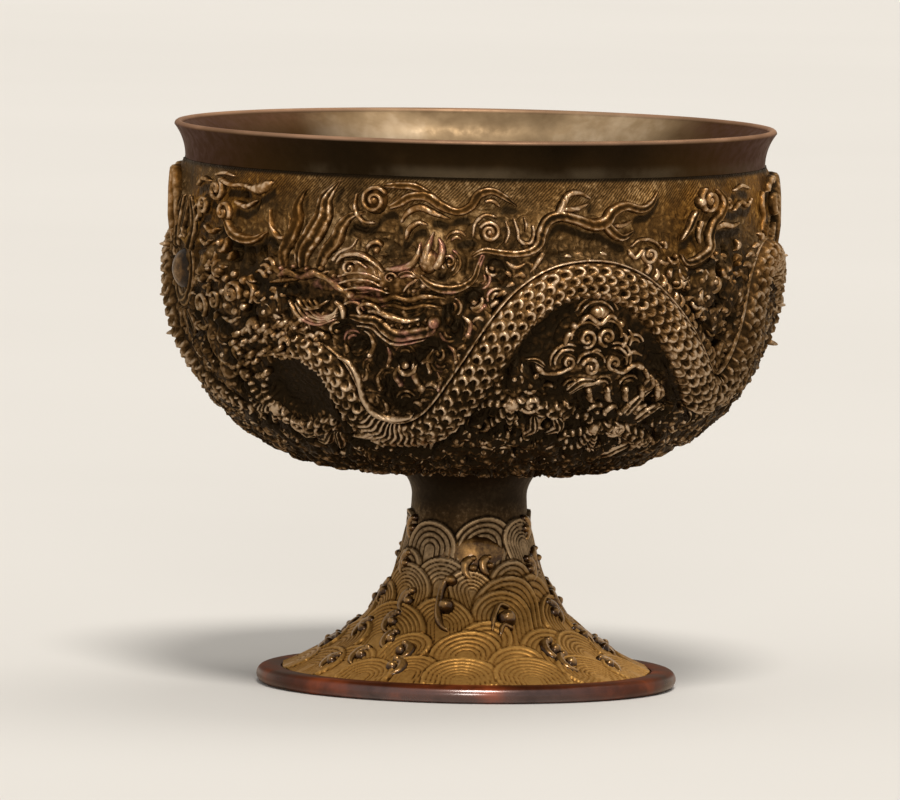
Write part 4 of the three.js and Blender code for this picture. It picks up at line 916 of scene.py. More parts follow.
# Painted shadow under a casting's lower edge: how far down it reaches, and the wear below zero that stands
# for it
SHADOW_DEPTH = 1.1
PAINTED_SHADOW = 0.6

# Calm places on the ground: degrees, drop, radius and how calm
CALM = [
    (-38, 31.8, 5.8, 1.0), (-13, 28, 6.5, 0.45), (13.5, 23.5, 4.6, 1.0), (24, 21, 7, 0.75),
    (35, 25, 4.4, 1.0), (-49, 13.2, 6, 0.9), (18, 30.2, 2.6, 0.8), (17, 38, 2.5, 0.5), (62, 12, 3.5, 0.6),
]
PIT_DEPTH = 0.9
# Pits in the ground: degrees, drop and radius
PITS = [
    (54, 14.6, 0.8), (54.4, 18.2, 0.9), (58.6, 22.2, 0.9), (56, 25, 0.8), (60.4, 28, 0.8),
    (56.4, 11.6, 0.7), (71.4, 16.4, 0.9), (-52, 12.2, 1.0), (-48.4, 12.7, 1.0), (-45, 12.2, 0.9),
    (-50.6, 4.3, 0.7), (-47, 4.5, 0.7), (-66, 14.4, 1.0), (-47.4, 21, 1.0), (-63, 28, 1.0), (-57, 32, 0.9),
    (5, 19, 0.8), (34, 29.6, 1.0), (40.6, 34, 0.9),
]


def folded(degrees):
    """The place on the front half that has the same relief."""
    return np.mod(np.asarray(degrees, float) + 90, 180) - 90


def clearing(degrees, down):
    """Falls from 1 towards 0 in the calm places of the ground."""
    degrees = folded(degrees)
    free = np.ones(np.broadcast(degrees, down).shape)
    for at, drop, radius, calm in CALM:
        reach = np.hypot((degrees - at) * BOWL.per_degree(drop), down - drop)
        free = free * (1 - calm * (1 - soft(0.75 * radius, 1.1 * radius, reach)))
    return free


def busyness(degrees, down):
    """How crowded the ground is, from 0 where it is bare to 1."""
    return soft(9, 13, down) * (1 - soft(53, 60, down)) * clearing(degrees, down)


def knots():
    """Mounds that the small curls gather on, as degrees, drop and radius, for the front half."""
    found = []
    down, row = KNOT_TOP, 0
    while down < KNOT_END:
        count = int(round(180 * BOWL.per_degree(down) / KNOT_GAP))
        for k in range(count):
            number = 97 * row + k + 1
            degrees = -90 + 180 * (k + 0.25 + 0.5 * (row % 2) + 0.5 * (scatter(number) - 0.5)) / count
            drop = down + 1.2 * (scatter(number + 5000) - 0.5)
            radius = 1.2 + 0.6 * scatter(number + 9000)
            found.append((float(degrees), float(drop), float(radius)))
        down += KNOT_ROW_GAP
        row += 1
    return found


def read_map(values, x, y, ease=None):
    """Reads a map between its cells. Its columns run on round the wall, and ease may smooth the steps."""
    columns = values.shape[1]
    column, row = np.floor(x).astype(int), np.floor(y).astype(int)
    fx, fy = x - column, y - row
    if ease:
        fx, fy = ease(fx), ease(fy)
    left, right = np.mod(column, columns), np.mod(column + 1, columns)
    upper = values[row, left] * (1 - fx) + values[row, right] * fx
    lower = values[row + 1, left] * (1 - fx) + values[row + 1, right] * fx
    return upper * (1 - fy) + lower * fy


class Cover:
    """A map of how near a casting is, up to 1 under one, or of how tall the castings stand."""

    def __init__(self, reliefs, tall, blur):
        rows = int(COVER_END / COVER_CELL)
        columns = int(round(HALF_GIRTH / COVER_CELL))
        grid = np.zeros((rows, columns))
        for relief in reliefs:
            degrees, down, off = relief.places.T
            keep = off > 0.1
            column = np.mod(((folded(degrees[keep]) + 90) / 180 * columns).astype(int), columns)
            row = np.clip(down[keep] / COVER_CELL, 0, rows - 1).astype(int)
            np.maximum.at(grid, (row, column), off[keep] if tall else 1.0)
        for axis in (0, 1):
            grid = np.maximum(grid, np.maximum(np.roll(grid, 1, axis), np.roll(grid, -1, axis)))
        for _ in range(blur):
            for axis in (0, 1):
                grid = (grid + np.roll(grid, 1, axis) + np.roll(grid, -1, axis)) / 3
        self.grid = grid

    def __call__(self, degrees, down):
        rows, columns = self.grid.shape
        x = (folded(degrees) + 90) / 180 * columns - 0.5
        y = np.clip(np.asarray(down, float) / COVER_CELL - 0.5, 0, rows - 1.001)
        return read_map(self.grid, x, y)


@functools.lru_cache(maxsize=1)
def cover():
    """How near a casting is."""
    return Cover(castings().values(), tall=False, blur=2)


@functools.lru_cache(maxsize=1)
def rises():
    """How tall the castings stand, softly spread round them."""
    return Cover(castings().values(), tall=True, blur=5)


def ripple(degrees, down, size, seed):
    """Smooth uneven values from 0 to 1 over the wall, whose humps are about size millimetres apart."""
    rows, columns = 80, int(round(HALF_GIRTH / size))
    values = np.random.default_rng(seed).random((rows, columns))
    x = (folded(degrees) + 90) / 180 * columns
    y = np.clip(np.asarray(down, float) / size, 0, rows - 1.1)
    return read_map(values, x, y, functools.partial(soft, 0, 1))


def ground(degrees, down):
    """Height off the wall and wear of the ground, with its mounds, swirls and pits.

    The ground swells under the castings. Painted shadow under their lower edges is wear below zero.
    """
    near = cover()(degrees, down)
    free = 1 - soft(0.15, 0.75, near)
    busy = busyness(degrees, down)
    mound = np.zeros(degrees.shape)
    across = folded(degrees)
    for at, drop, radius in knots():
        row = np.abs(down - drop) < 1.3 * radius
        apart = folded(across[row] - at) * BOWL.per_degree(drop)
        reach = np.hypot(apart, down[row] - drop) / (1.25 * radius)
        mound[row] = np.maximum(mound[row], np.sqrt(np.clip(1 - reach**2, 0, 1)) * radius / KNOT_RADIUS)
    uneven = ripple(degrees, down, 1.3, 21)
    swirls = 0.5 + 0.5 * np.cos(2 * math.pi * 5 * ripple(degrees, down, 3.4, 24))
    crowded = busy * (0.5 + 0.5 * free)
    shallow = soft(3, 7, down) * (1 - busy) * (1 - soft(50, 58, down)) * clearing(degrees, down)
    rise = rises()(degrees, down)
    height = KNOT_HEIGHT * mound * busy * free + (0.45 * uneven + 0.4 * swirls) * crowded
    fine = 0.10 * ripple(degrees, down, 0.8, 22) + shallow * (0.2 * swirls + 0.2 * uneven)
    height = height + fine * free
    height = height + APRON * rise
    worn = (0.45 * soft(0.6, 1.0, mound) + 0.3 * soft(0.4, 0.9, uneven) + 0.35 * swirls) * crowded
    worn = worn + 0.3 * shallow * swirls + 0.32 * soft(0.2, 1.2, rise) * (0.4 + 0.6 * swirls)
    for at, drop, radius in PITS:
        reach = np.hypot(folded(across - at) * BOWL.per_degree(drop), (down - drop) * 0.6) / radius
        height = height * soft(0.9, 1.7, reach) - PIT_DEPTH * (1 - soft(0.6, 1.1, reach)) * free
        worn = worn * soft(0.8, 1.6, reach)
    # Painted shadow on the ground just under each casting's lower edge.
    cast_shadow = soft(0.3, 0.9, cover()(degrees, down - SHADOW_DEPTH)) * (1 - soft(0.5, 1.0, near))
    return height, worn * (1 - cast_shadow) - PAINTED_SHADOW * cast_shadow


def small_curls():
    """Commas on the mounds, hooks between them and locks of hair under the bowl, for the front half."""
    rng = random.Random(bpy.context.scene.cup_sizes.fill_seed)
    made = []
    for degrees, drop, radius in knots():
        if busyness(degrees, drop) < 0.4 or cover()(degrees, drop) > 0.45 or near_pit(degrees, drop):
            continue
        rise = KNOT_HEIGHT * radius / KNOT_RADIUS
        turn = rng.uniform(0, 2 * math.pi)
        hand = rng.choice((-1, 1))
        if drop > LOCKS_FROM:
            made += lock(degrees, drop, radius / 1.6, hand, rise, rng)
            continue
        made += comma((degrees, drop), turn, radius / 1.6, hand, rise)
        for k in range(2):
            aside = turn + 2.1 * (k + 0.6)
            place = step_from((degrees, drop), aside, 1.3 * radius)
            if cover()(place[0], place[1]) < 0.6 and not near_pit(*place):
                made.append(small_hook(place, aside + hand * 1.2, rng.uniform(0.9, 1.2), -hand, 0.4 * rise))
    return joined(made)


def near_pit(degrees, down):
    """Whether a place lies in a pit of the ground or on its brim."""
    return any(
        math.hypot(float(folded(degrees - at)) * float(BOWL.per_degree(drop)),
                   (down - drop) * 0.7) < 1.6 * radius
        for at, drop, radius in PITS
    )


def step_from(place, heading, length):
    """The place that lies a length away along a heading, which is in radians from +X towards the foot."""
    scale = float(BOWL.per_degree(place[1]))
    return place[0] + length * math.cos(heading) / scale, place[1] + length * math.sin(heading)


def comma(place, turn, size, hand, rise):
    """A round head with a thick tail that winds half round it."""
    points = [step_from(place, turn + hand * 0.75 * k, (1.0 + 0.12 * k) * size) for k in range(5)]
    widths = [0.5 * size, 0.8 * size, 0.8 * size, 0.4]
    return [
        knob(place, 0.72 * size, rise + 0.75, rings=4, sides=10),
        strand(points, widths, [0.5, 0.8, 0.7, 0.3], lift=0.75 * rise, step=0.34, across=6),
    ]


def small_hook(place, turn, size, hand, rise):
    """A short hook beside a mound."""
    points = [place]
    for bend in (0.0, 0.8, 1.7):
        points.append(step_from(points[-1], turn + hand * bend, 0.72 * size))
    return strand(points[::-1], [0.6 * size, 0.8 * size, 0.4], [0.8, 1.0, 0.4],
                  lift=rise, step=0.42, across=5)


def lock(degrees, down, size, hand, rise, rng):
    """Two locks of hair that run down over a mound towards the stem."""
    lean = 0.9 * math.sin(math.radians(degrees * 5 + down * 3))
    made = []
    for beside in (-0.6, 0.6):
        start = step_from((degrees, down), 0.0, beside * size)
        heading = math.pi / 2 + lean + rng.uniform(-0.3, 0.3)
        points = [step_from(start, heading + math.pi, size)]
        for bend in (0, 0.3, 0.6):
            points.append(step_from(points[-1], heading + hand * bend, size))
        widths = [0.6, 0.9 * size, 0.8, 0.25]
        made.append(strand(points, widths, [0.5, 0.8, 0.5, 0.2], lift=0.7 * rise, step=0.45, across=5))
    return made


# Waves on the stem and foot

# The width of the smooth rim round a hooped wave
HOOP_RIM = 0.45
# Hooped waves of the front half: degrees, drop to the middle, radius and ridge spacing
HOOPS = [
    (-86, 10.6, 4.2, 0.6), (-37, 12.1, 4.4, 0.75), (13, 11.6, 4.7, 0.62), (60, 11.6, 4.3, 0.6),
    (-66, 16.4, 4.2, 0.6), (-20, 17.8, 4.6, 0.6), (36, 17.6, 4.0, 0.6), (80, 17.4, 4.4, 0.6),
    (4, 18.6, 3.6, 0.6), (-50, 19.4, 5.0, 0.6), (27, 21.6, 5.6, 0.6), (50, 21.2, 5.2, 0.8),
    (-76, 23, 5.2, 0.6), (-14, 24.4, 4.8, 0.6), (21.6, 23.1, 4.8, 0.58), (68, 25, 5.4, 0.62),
    (-46, 28.4, 7.6, 0.62), (90, 26, 5, 0.6), (8, 28, 4.4, 0.6), (-74, 31, 6.2, 0.64),
    (-28, 30.1, 3.8, 0.5), (-0.5, 31, 5.4, 0.6), (40, 30.8, 5.4, 0.62), (60, 31.6, 5.4, 0.64),
    (84, 33, 6, 0.64), (-50, 35, 5.0, 0.6), (20, 33.4, 4.6, 0.6), (-66, 37, 5.8, 0.64),
    (-20, 35.8, 4.4, 0.55), (-36, 37.4, 4.6, 0.6), (-86, 38, 5.4, 0.64), (-1.8, 37.4, 5.9, 0.6),
    (23, 37.4, 6.0, 0.6), (50, 37.4, 6.0, 0.64), (72, 38, 5.6, 0.64),
]


def waves(degrees, down):
    """Height off the wall and wear of the hooped waves, each lying over the ones above it.

    Each hoop leans and spaces its ridges a little in its own way. The stem above them is plain.
    """
    degrees = folded(degrees)
    height = np.zeros(degrees.shape)
    worn = np.full(degrees.shape, 0.4)
    scale = FOOT.per_degree(down)
    for at, middle, radius, spacing in sorted(HOOPS, key=lambda hoop: hoop[1]):
        own = float(scatter(at + middle))
        apart = folded(degrees - at) * scale + 0.55 * (own - 0.5) * (down - middle)
        reach = np.where(down < middle, np.hypot(apart, down - middle), np.abs(apart))
        inside = (reach < radius) & (down < middle + 1.6 * radius)
        edge = 1 - soft(radius - 0.18, radius, reach)
        gap = (0.9 + 0.5 * own) * spacing
        groove = np.exp(-(((np.mod(radius - HOOP_RIM - reach, gap) - gap / 2) / (0.13 * gap)) ** 2))
        groove = groove * soft(0.12 * radius, 0.22 * radius, reach) * (reach < radius - HOOP_RIM)
        foot = 1 - soft(radius, radius + 0.5, reach)
        body = 0.22 + 0.42 * (reach / radius) ** 2 - 0.22 * groove
        height = np.where(inside, np.maximum(body * edge, height * (1 - edge)), height)
        shade = 0.72 * foot - 0.72 * groove + 0.28 * soft(radius - 0.6, radius - 0.3, reach) * edge
        worn = np.where(inside, shade, worn)
        outline = np.exp(-(((reach - radius - 0.12) / 0.16) ** 2)) * (down < middle + radius)
        worn = worn * (1 - 0.9 * outline)
    plain = 1 - soft(2.2, 7.5, down + 1.6 * np.sin(np.radians(4 * degrees)))
    return height * (1 - plain), np.clip(worn * (1 - plain) + 0.3 * plain, 0, 1)


def crest(degrees, down, size, hand):
    """A small hook of foam round a drop."""
    scale = float(FOOT.per_degree(down))
    points = [
        (degrees + hand * x * size / scale, down + y * size)
        for x, y in ((0.4, -1.9), (-0.9, -1.3), (-1.3, 0.2), (-0.9, 1.7), (0.2, 2.8))
    ]
    drop = (degrees + hand * 0.4 * size / scale, down + 0.2)
    return [
        strand(points, [1.1, 1.45, 1.2, 0.4], [0.85, 0.95, 0.8, 0.5], wall=FOOT, across=8),
        knob(points[0], 0.9 * size, 1.05, wall=FOOT),
        knob(drop, 1.15 * size, 1.25, wall=FOOT, sides=16, rings=6),
    ]


def foam():
    """Hooks and drops of foam that stand off the waves, and the swell above them, for the front half."""
    swell = [(-26, 13.6), (-14, 12.6), (0, 12.2), (14, 12.2), (30, 12.4), (44, 12)]
    # degrees, drop, size and hand
    crests = [
        (2.6, 14.6, 0.7, 1), (16.6, 14.2, 0.6, 1), (-43, 20.4, 0.8, 1), (-46, 24.4, 0.8, 1),
        (-38.6, 28, 0.75, 1), (-28, 30.4, 0.8, -1), (-27, 34.4, 0.9, -1), (41, 29.7, 0.95, 1),
        (43, 33, 0.95, 1), (-47, 32.2, 0.85, 1), (66, 22.4, 0.85, -1), (76, 27.6, 0.85, -1),
        (60, 15, 0.75, -1), (-62, 14.4, 0.75, 1), (-80, 19.4, 0.85, 1), (-66, 26.4, 0.85, 1),
        (86, 21, 0.85, 1), (78, 13.6, 0.7, 1), (-84, 31, 0.85, 1), (64, 34.6, 0.8, -1), (-58, 34.6, 0.8, 1),
        (-64, 9, 0.7, 1), (66, 8.8, 0.7, -1), (84, 31, 0.8, -1),
    ]
    big_hook = [
        strand([(-13, 16.3), (-17.4, 17.6), (-18.4, 20.2), (-17, 23), (-13.4, 25), (-9.6, 25.8)],
               [1.0, 0.9, 1.0, 1.1, 0.3], [1.5, 1.3, 1.3, 1.2, 0.7], wall=FOOT),
        knob((-12.6, 16.9), 1.05, 1.8, wall=FOOT, sides=18, rings=7),
        knob((-13.4, 21.2), 1.35, 2.0, wall=FOOT, sides=20, rings=8),
    ]
    drop = [
        strand([(27.4, 21.4), (21.4, 20.8), (16.4, 22.6), (13.4, 25.6)], [0.5, 0.8, 0.9, 0.3],
               [0.9, 1.2, 1.1, 0.7], wall=FOOT),
        strand([(25.4, 25.4), (20.4, 24.6), (16.6, 26.8)], [0.5, 0.8, 0.3], [0.9, 1.1, 0.7], wall=FOOT),
        knob((23.4, 23.3), 1.5, 2.0, wall=FOOT, sides=22, rings=8),
    ]
    return joined([
        strand(swell, [0.8, 3.0, 4.4, 4.6, 3.8, 2.4, 0.6], [0.35, 0.5, 0.58, 0.5, 0.3],
               wall=FOOT, across=11, boxy=0.8, wear=0.8),
        big_hook, drop, [crest(*each) for each in crests],
    ])


# Patina


class Signal:
    """The output of a shader node. Sums, differences and products with it add nodes of arithmetic."""

    def __init__(self, socket):
        self.socket = socket

    def __add__(self, other):
        return maths("ADD", self, other)

    def __sub__(self, other):
        return maths("SUBTRACT", self, other)

    def __rsub__(self, other):
        return maths("SUBTRACT", other, self)

    def __mul__(self, other):
        return maths("MULTIPLY", self, other)

    def __abs__(self):
        return maths("ABSOLUTE", self)

    def clamped(self):
        """The result of the last step of arithmetic, held between 0 and 1."""
        self.socket.node.use_clamp = True
        return self

    def span(self, low, high, to_low=0.0, to_high=1.0):
        """Maps low to to_low and high to to_high, smoothly between them and level beyond."""
        inputs = {"Value": self, "From Min": low, "From Max": high, "To Min": to_low, "To Max": to_high}
        return signal(self.socket.id_data, "MapRange", inputs, interpolation_type="SMOOTHSTEP")


def feed(node, inputs):
    """Sets inputs of a node, by name or number, or links them to signals. A colour needs no alpha."""
    for key, value in inputs.items():
        socket = node.inputs[key]
        if isinstance(value, Signal):
            node.id_data.links.new(value.socket, socket)
        elif socket.type == "RGBA" and len(value) == 3:
            socket.default_value = (*value, 1)
        else:
            socket.default_value = value


def add_node(tree, kind, inputs=None, **settings):
    """Adds a shader node with its settings and inputs."""
    node = tree.nodes.new("ShaderNode" + kind)
    for key, value in settings.items():
        setattr(node, key, value)
    feed(node, inputs or {})
    return node


def signal(tree, kind, inputs=None, output=0, **settings):
    """Adds a shader node and returns one of its outputs, by name or number."""
    return Signal(add_node(tree, kind, inputs, **settings).outputs[output])


def maths(operation, *values):
    """One step of arithmetic on signals and numbers."""
    tree = next(value for value in values if isinstance(value, Signal)).socket.id_data
    return signal(tree, "Math", dict(enumerate(values)), operation=operation)


class Patina:
    """A new material whose patterns follow the place on the object. Heights in it are in metres."""

    def __init__(self, name):
        self.material = bpy.data.materials.new(name)
        self.material.use_nodes = True
        self.tree = self.material.node_tree
        self.tree.nodes.clear()
        self.shader = add_node(self.tree, "BsdfPrincipled")
        add_node(self.tree, "OutputMaterial", {"Surface": Signal(self.shader.outputs[0])})
        self.place = self.add("TexCoord", output="Object")
        self.x, self.y, self.z = (self.add("SeparateXYZ", {0: self.place}, axis) for axis in "XYZ")

    def add(self, kind, inputs=None, output=0, **settings):
        """Adds a node and returns one of its outputs."""
        return signal(self.tree, kind, inputs, output, **settings)

    def noise(self, scale, detail, roughness=0.55):
        """Cloudy patches, about scale of them to a metre."""
        inputs = {"Vector": self.place, "Scale": scale, "Detail": detail, "Roughness": roughness}
        return self.add("TexNoise", inputs, "Fac")

    def ramp(self, value, *stops):
        """A colour that runs through stops, each a value and a linear colour."""
        node = add_node(self.tree, "ValToRGB", {"Fac": value})
        elements = node.color_ramp.elements
        while len(elements) < len(stops):
            elements.new(0.5)
        for element, (position, colour) in zip(elements, stops):
            element.position = position
            element.color = (*colour, 1)
        return Signal(node.outputs["Color"])

    def mix(self, share, first, second):
        """Mixes a share of a second colour into a first."""
        return self.add("Mix", {0: share, 6: first, 7: second}, 2, data_type="RGBA")

    def worn(self):
        """The wear that the mesh carries."""
        return self.add("Attribute", output="Fac", attribute_name="worn")

    def rubbed(self, patches, grains):
        """The mesh's wear, broken up by patches and fine grain."""
        return (self.worn() + (patches - 0.5) + (grains - 0.5) * 0.9).clamped()

    def lines(self, crowding):
        """Fine chased lines that wind round each other, 1 on a line and 0 between two."""
        flow = self.noise(270, 1.5)
        return maths("SINE", flow * (2 * math.pi * crowding)).span(-1, 1)

    def beads(self, number):
        """Small beads, number of them to a metre, 1 in their middles and 0 between them."""
        apart = self.add("TexVoronoi", {"Vector": self.place, "Scale": number}, "Distance")
        return apart.span(0.62, 0.08)

    def hatching(self):
        """Close slanting strokes round the wall, which need the map of the chased pieces."""
        places = self.add("UVMap", uv_map="wall")
        places = self.add("Mapping", {"Vector": places, "Scale": (137.3, 62, 1)})
        strokes = {"Vector": places, "Scale": 1.25, "Distortion": 3, "Detail": 3, "Detail Scale": 1.1}
        return self.add("TexWave", strokes, "Fac", bands_direction="DIAGONAL")

    def sides(self):
        """Rises from 0 in the middle of the front and back to 1 at the cup's left and right."""
        return abs(self.x).span(0.020, 0.042)

    def painted_shade_below(self, colour, wear):
        """Paints shade: sinks a colour towards black under the belly, which faces down away from the light,
        and a little at the sides where the light falls off, less on rubbed metal.
        """
        below = self.z.span(0.062, 0.041) * wear.span(0.35, 1, 0.95, 0.25)
        beside = self.z.span(0.073, 0.058) * self.sides()
        return self.mix(maths("MAXIMUM", below, beside * 0.4), colour, cup_colours().recess_and_shade)

    def finish(self, colour, roughness, metallic, edge=(0.8, 0.6, 0.36), coat=None):
        """A surface that is part metal, with a weak gloss in a warm edge colour. coat lies glossy on it."""
        feed(self.shader, {"Base Color": colour, "Roughness": roughness, "Metallic": metallic})
        feed(self.shader, {"Specular IOR Level": 0.15, "Specular Tint": edge})
        feed(self.shader, {"Coat " + key: value for key, value in (coat or {}).items()})

    def emboss(self, height, strength, depth=0.0001):
        """Makes the surface uneven by a pattern of height, which is depth metres high where it is 1."""
        bump = self.add("Bump", {"Strength": strength, "Distance": depth, "Height": height})
        feed(self.shader, {"Normal": bump})


def cup_colours():
    """The colours that the panel shows."""
    return bpy.context.scene.cup_colours


def relief_patina(name, ochre, *, rubbing=0.0, beading=0.3, blush=False, gloss=0.0):
    """Near black bronze whose ridges are rubbed pale, with some ochre bloom high up and at the sides.

    rubbing makes the whole casting paler, beading breaks it up into small beads, blush adds rosy patches
    and gloss lays wax over it.
    """
    colours = cup_colours()
    patina = Patina(name)
    patches = patina.noise(170, 5)
    grains = patina.noise(1700, 3, 0.7)
    lines = patina.lines(6)
    beads = patina.beads(900)
    wear = patina.rubbed(patches, grains) + rubbing + (beads - 0.45) * beading
    wear = (wear + (lines - 0.6) * 0.22).clamped()
    base = patina.ramp(
        wear,
        (0, colours.recess_and_shade), (0.3, colours.brown), (0.58, colours.bronze), (0.84, colours.rubbed),
        (1, colours.bare),
    )
    bloom = patina.z.span(0.050, 0.074) * patina.noise(80, 5).span(0.40, 0.64)
    earthy = patina.mix(wear, colours.ochre, [2.2 * channel for channel in colours.ochre])
    base = patina.mix(bloom * ((patina.sides() * 0.6 + 0.4) * ochre), base, earthy)
    if blush:
        pink = patina.noise(240, 4).span(0.52, 0.66, 0, 0.7)
        base = patina.mix(pink * wear, base, colours.pink)
    # Painted shade under the belly and at the sides of the bowl.
    base = patina.painted_shade_below(base, wear)
    patina.finish(base, wear.span(0, 1, 0.56, 0.30), 0.65, coat={"Weight": gloss, "Roughness": 0.15})
    patina.emboss(grains + lines + beads * (3 * beading), 0.55)
    return patina.material


def bowl_patina():
    """The chased ground: ochre and hatched under the lip, near black between castings, with a painted shadow
    just under the lip and painted shade towards the stem.

    The mesh gives the painted shadow under the castings as wear below zero.
    """
    colours = cup_colours()
    patina = Patina("Bowl patina")
    patches = patina.noise(110, 5)
    grains = patina.noise(1600, 3, 0.7)
    lines = patina.lines(7)
    beads = patina.beads(1000)
    wear = patina.rubbed(patches, grains) + (beads - 0.45) * 0.45
    wear = (wear + (lines - 0.4) * 0.3).clamped()
    dark = patina.ramp(wear, (0, colours.recess_and_shade), (0.45, colours.brown), (0.75, colours.bronze),
                       (1, colours.rubbed))
    near_lip = patina.z.span(0.0725, 0.0765)
    hatch = (patina.hatching() - 0.5) * (near_lip * patches)
    fine = hatch * 0.5 + ((patches * 0.5 + grains * 0.5 + wear * 0.5) - 0.12)
    pale = patina.ramp(fine, (0.25, (0.03, 0.016, 0.005)), (0.5, (0.12, 0.064, 0.022)),
                       (0.8, (0.30, 0.19, 0.09)))
    earthy = patina.ramp(fine, (0.25, (0.065, 0.026, 0.005)), (0.5, (0.20, 0.088, 0.015)),
                         (0.8, (0.40, 0.21, 0.05)))
    bloom = patina.noise(70, 5).span(0.38, 0.62) * (patina.sides() * 1.4 + 0.25)
    pale = patina.mix(bloom.clamped(), pale, earthy)
    upper = patina.z.span(0.060, 0.074) * patches.span(0.25, 0.5, 0.5, 1)
    # Painted shade under the belly and at the sides of the bowl.
    base = patina.painted_shade_below(patina.mix(upper, dark, pale), wear)
    # Painted shadow under the overhanging lip band.
    shadow_under_lip = patina.z.span(0.0776, 0.0782)
    base = patina.mix(shadow_under_lip, base, colours.recess_and_shade)
    # Painted shadow under the castings, carried as wear below zero.
    shadow_under_castings = patina.worn().span(-0.05, -PAINTED_SHADOW, 0, 0.9)
    base = patina.mix(shadow_under_castings, base, colours.recess_and_shade)
    patina.finish(base, 0.5, 0.5)
    carved = lines * (1 - near_lip)
    patina.emboss(grains + hatch + carved * 0.8 + beads * 0.8, 0.8, 0.00016)
    return patina.material


def liner_patina():
    """Beige brown inside, with painted shade left and right near the lip, and dark brown outside with a
    painted sheen low on the band and a rubbed edge.
    """
    patina = Patina("Liner patina")
    z = patina.z
    flat = patina.add("CombineXYZ", {"X": patina.x, "Y": patina.y})
    radius = patina.add("VectorMath", {0: flat}, "Value", operation="LENGTH")
    lip_middle = (z - 0.0784) * 0.30 + 0.0426
    within = maths("MAXIMUM", maths("LESS_THAN", radius, lip_middle), maths("LESS_THAN", z, 0.0780))
    clouds = patina.noise(55, 5)
    grains = patina.noise(700, 4)
    gold = patina.ramp(clouds, (0.32, (0.13, 0.085, 0.045)), (0.48, (0.30, 0.21, 0.12)),
                       (0.62, (0.58, 0.45, 0.31)))
    # Painted shade on the inside, left and right near the lip.
    shaded_ends = abs(patina.x - 0.005).span(0.018, 0.033, 0, 0.96) * z.span(0.050, 0.068)
    gold = patina.mix(shaded_ends, gold, (0.050, 0.021, 0.005))
    brown = patina.ramp(clouds, (0.3, (0.006, 0.004, 0.002)), (0.6, (0.018, 0.010, 0.004)),
                        (0.8, (0.042, 0.024, 0.010)))
    brown = patina.mix(patina.sides() * 0.85, brown, (0.052, 0.024, 0.004))
    # Painted sheen along the lower edge of the lip band.
    painted_sheen = z.span(0.0806, 0.0790) * clouds.span(0.45, 0.65)
    brown = patina.mix(painted_sheen * 0.6, brown, (0.075, 0.056, 0.034))
    edge = z.span(0.0833, 0.0838) * patina.noise(60, 4).span(0.35, 0.65, 0.55, 1)
    base = patina.mix(edge, patina.mix(within, brown, gold), (0.36, 0.21, 0.13))
    patina.finish(base, grains.span(0.3, 0.7, 0.42, 0.58), 0.55, edge=(0.5, 0.26, 0.05))
    patina.emboss(grains, 0.25)
    return patina.material


def foot_patina():
    """Dark brown on the stem, turning to ochre gold on the foot, with dark lines between the ridges."""
    patina = Patina("Foot patina")
    patches = patina.noise(110, 5)
    grains = patina.noise(1500, 3, 0.7)
    wear = patina.rubbed(patches, grains)
    dark = patina.ramp(wear, (0, (0.006, 0.003, 0.001)), (0.4, (0.052, 0.028, 0.011)),
                       (1, (0.36, 0.24, 0.13)))
    gold = patina.ramp(wear, (0, (0.035, 0.013, 0.002)), (0.3, (0.205, 0.094, 0.020)),
                       (1, (0.47, 0.25, 0.068)))
    low = (patina.z + (patches - 0.5) * 0.012).span(0.022, 0.010)
    collar = patina.z.span(0.0245, 0.0285) * 0.92
    base = patina.mix(collar, patina.mix(low, dark, gold), (0.010, 0.006, 0.003))
    patina.finish(base, wear.span(0, 1, 0.58, 0.38), 0.5)
    patina.emboss(grains + patina.lines(4) * 0.6, 0.4)
    return patina.material


def foam_patina():
    """Dark, glossy drops of foam on the waves."""
    patina = Patina("Foam patina")
    wear = patina.rubbed(patina.noise(200, 4), patina.noise(1500, 3, 0.7))
    base = patina.ramp(wear, (0, (0.012, 0.005, 0.002)), (0.6, (0.062, 0.027, 0.007)),
                       (1, (0.30, 0.16, 0.05)))
    patina.finish(base, 0.3, 0.6, coat={"Weight": 0.6, "Roughness": 0.08, "IOR": 1.4})
    return patina.material


def copper_patina():
    """Dark red copper with bright blotches, polished at the front and back but dull on its flat top."""
    copper = cup_colours().copper
    patina = Patina("Copper patina")
    patches = patina.noise(120, 5)
    deep = [0.3 * channel for channel in copper]
    bright = [2.8 * channel for channel in copper]
    base = patina.ramp(patches, (0.34, deep), (0.54, copper), (0.70, bright))
    flat_top = patina.z.span(0.0019, 0.0024)
    polish = abs(patina.x).span(0.010, 0.027, 1, 0.1) * (1 - flat_top) * patches.span(0.3, 0.5, 0.6, 1)
    roughness = patches.span(0.3, 0.7, 0.26, 0.4) + flat_top * 0.3
    coat = {"Weight": polish, "Roughness": 0.2, "IOR": 1.8, "Tint": (1, 0.86, 0.72)}
    patina.finish(base, roughness, 0.4, coat=coat)
    return patina.material


def brass_finish():
    """Plain turned brass for the hidden stud, washer and nut."""
    patina = Patina("Turned brass")
    grains = patina.noise(900, 4)
    base = patina.ramp(grains, (0.3, (0.16, 0.10, 0.04)), (0.7, (0.42, 0.29, 0.12)))
    feed(patina.shader, {"Base Color": base, "Roughness": grains.span(0.3, 0.7, 0.32, 0.5), "Metallic": 1.0})
    return patina.material


def floor_finish():
    """A pale matt floor with faint clouds in it."""
    patina = Patina("Pale floor")
    base = patina.mix(patina.noise(3, 3), (0.66, 0.64, 0.61), (0.72, 0.70, 0.67))
    feed(patina.shader, {"Base Color": base, "Roughness": 0.85})
    return patina.material


# Making pieces

# Columns and rows of places on one sector of a chased casting
BOWL_GRID = (320, 250)
FOOT_GRID = (340, 220)


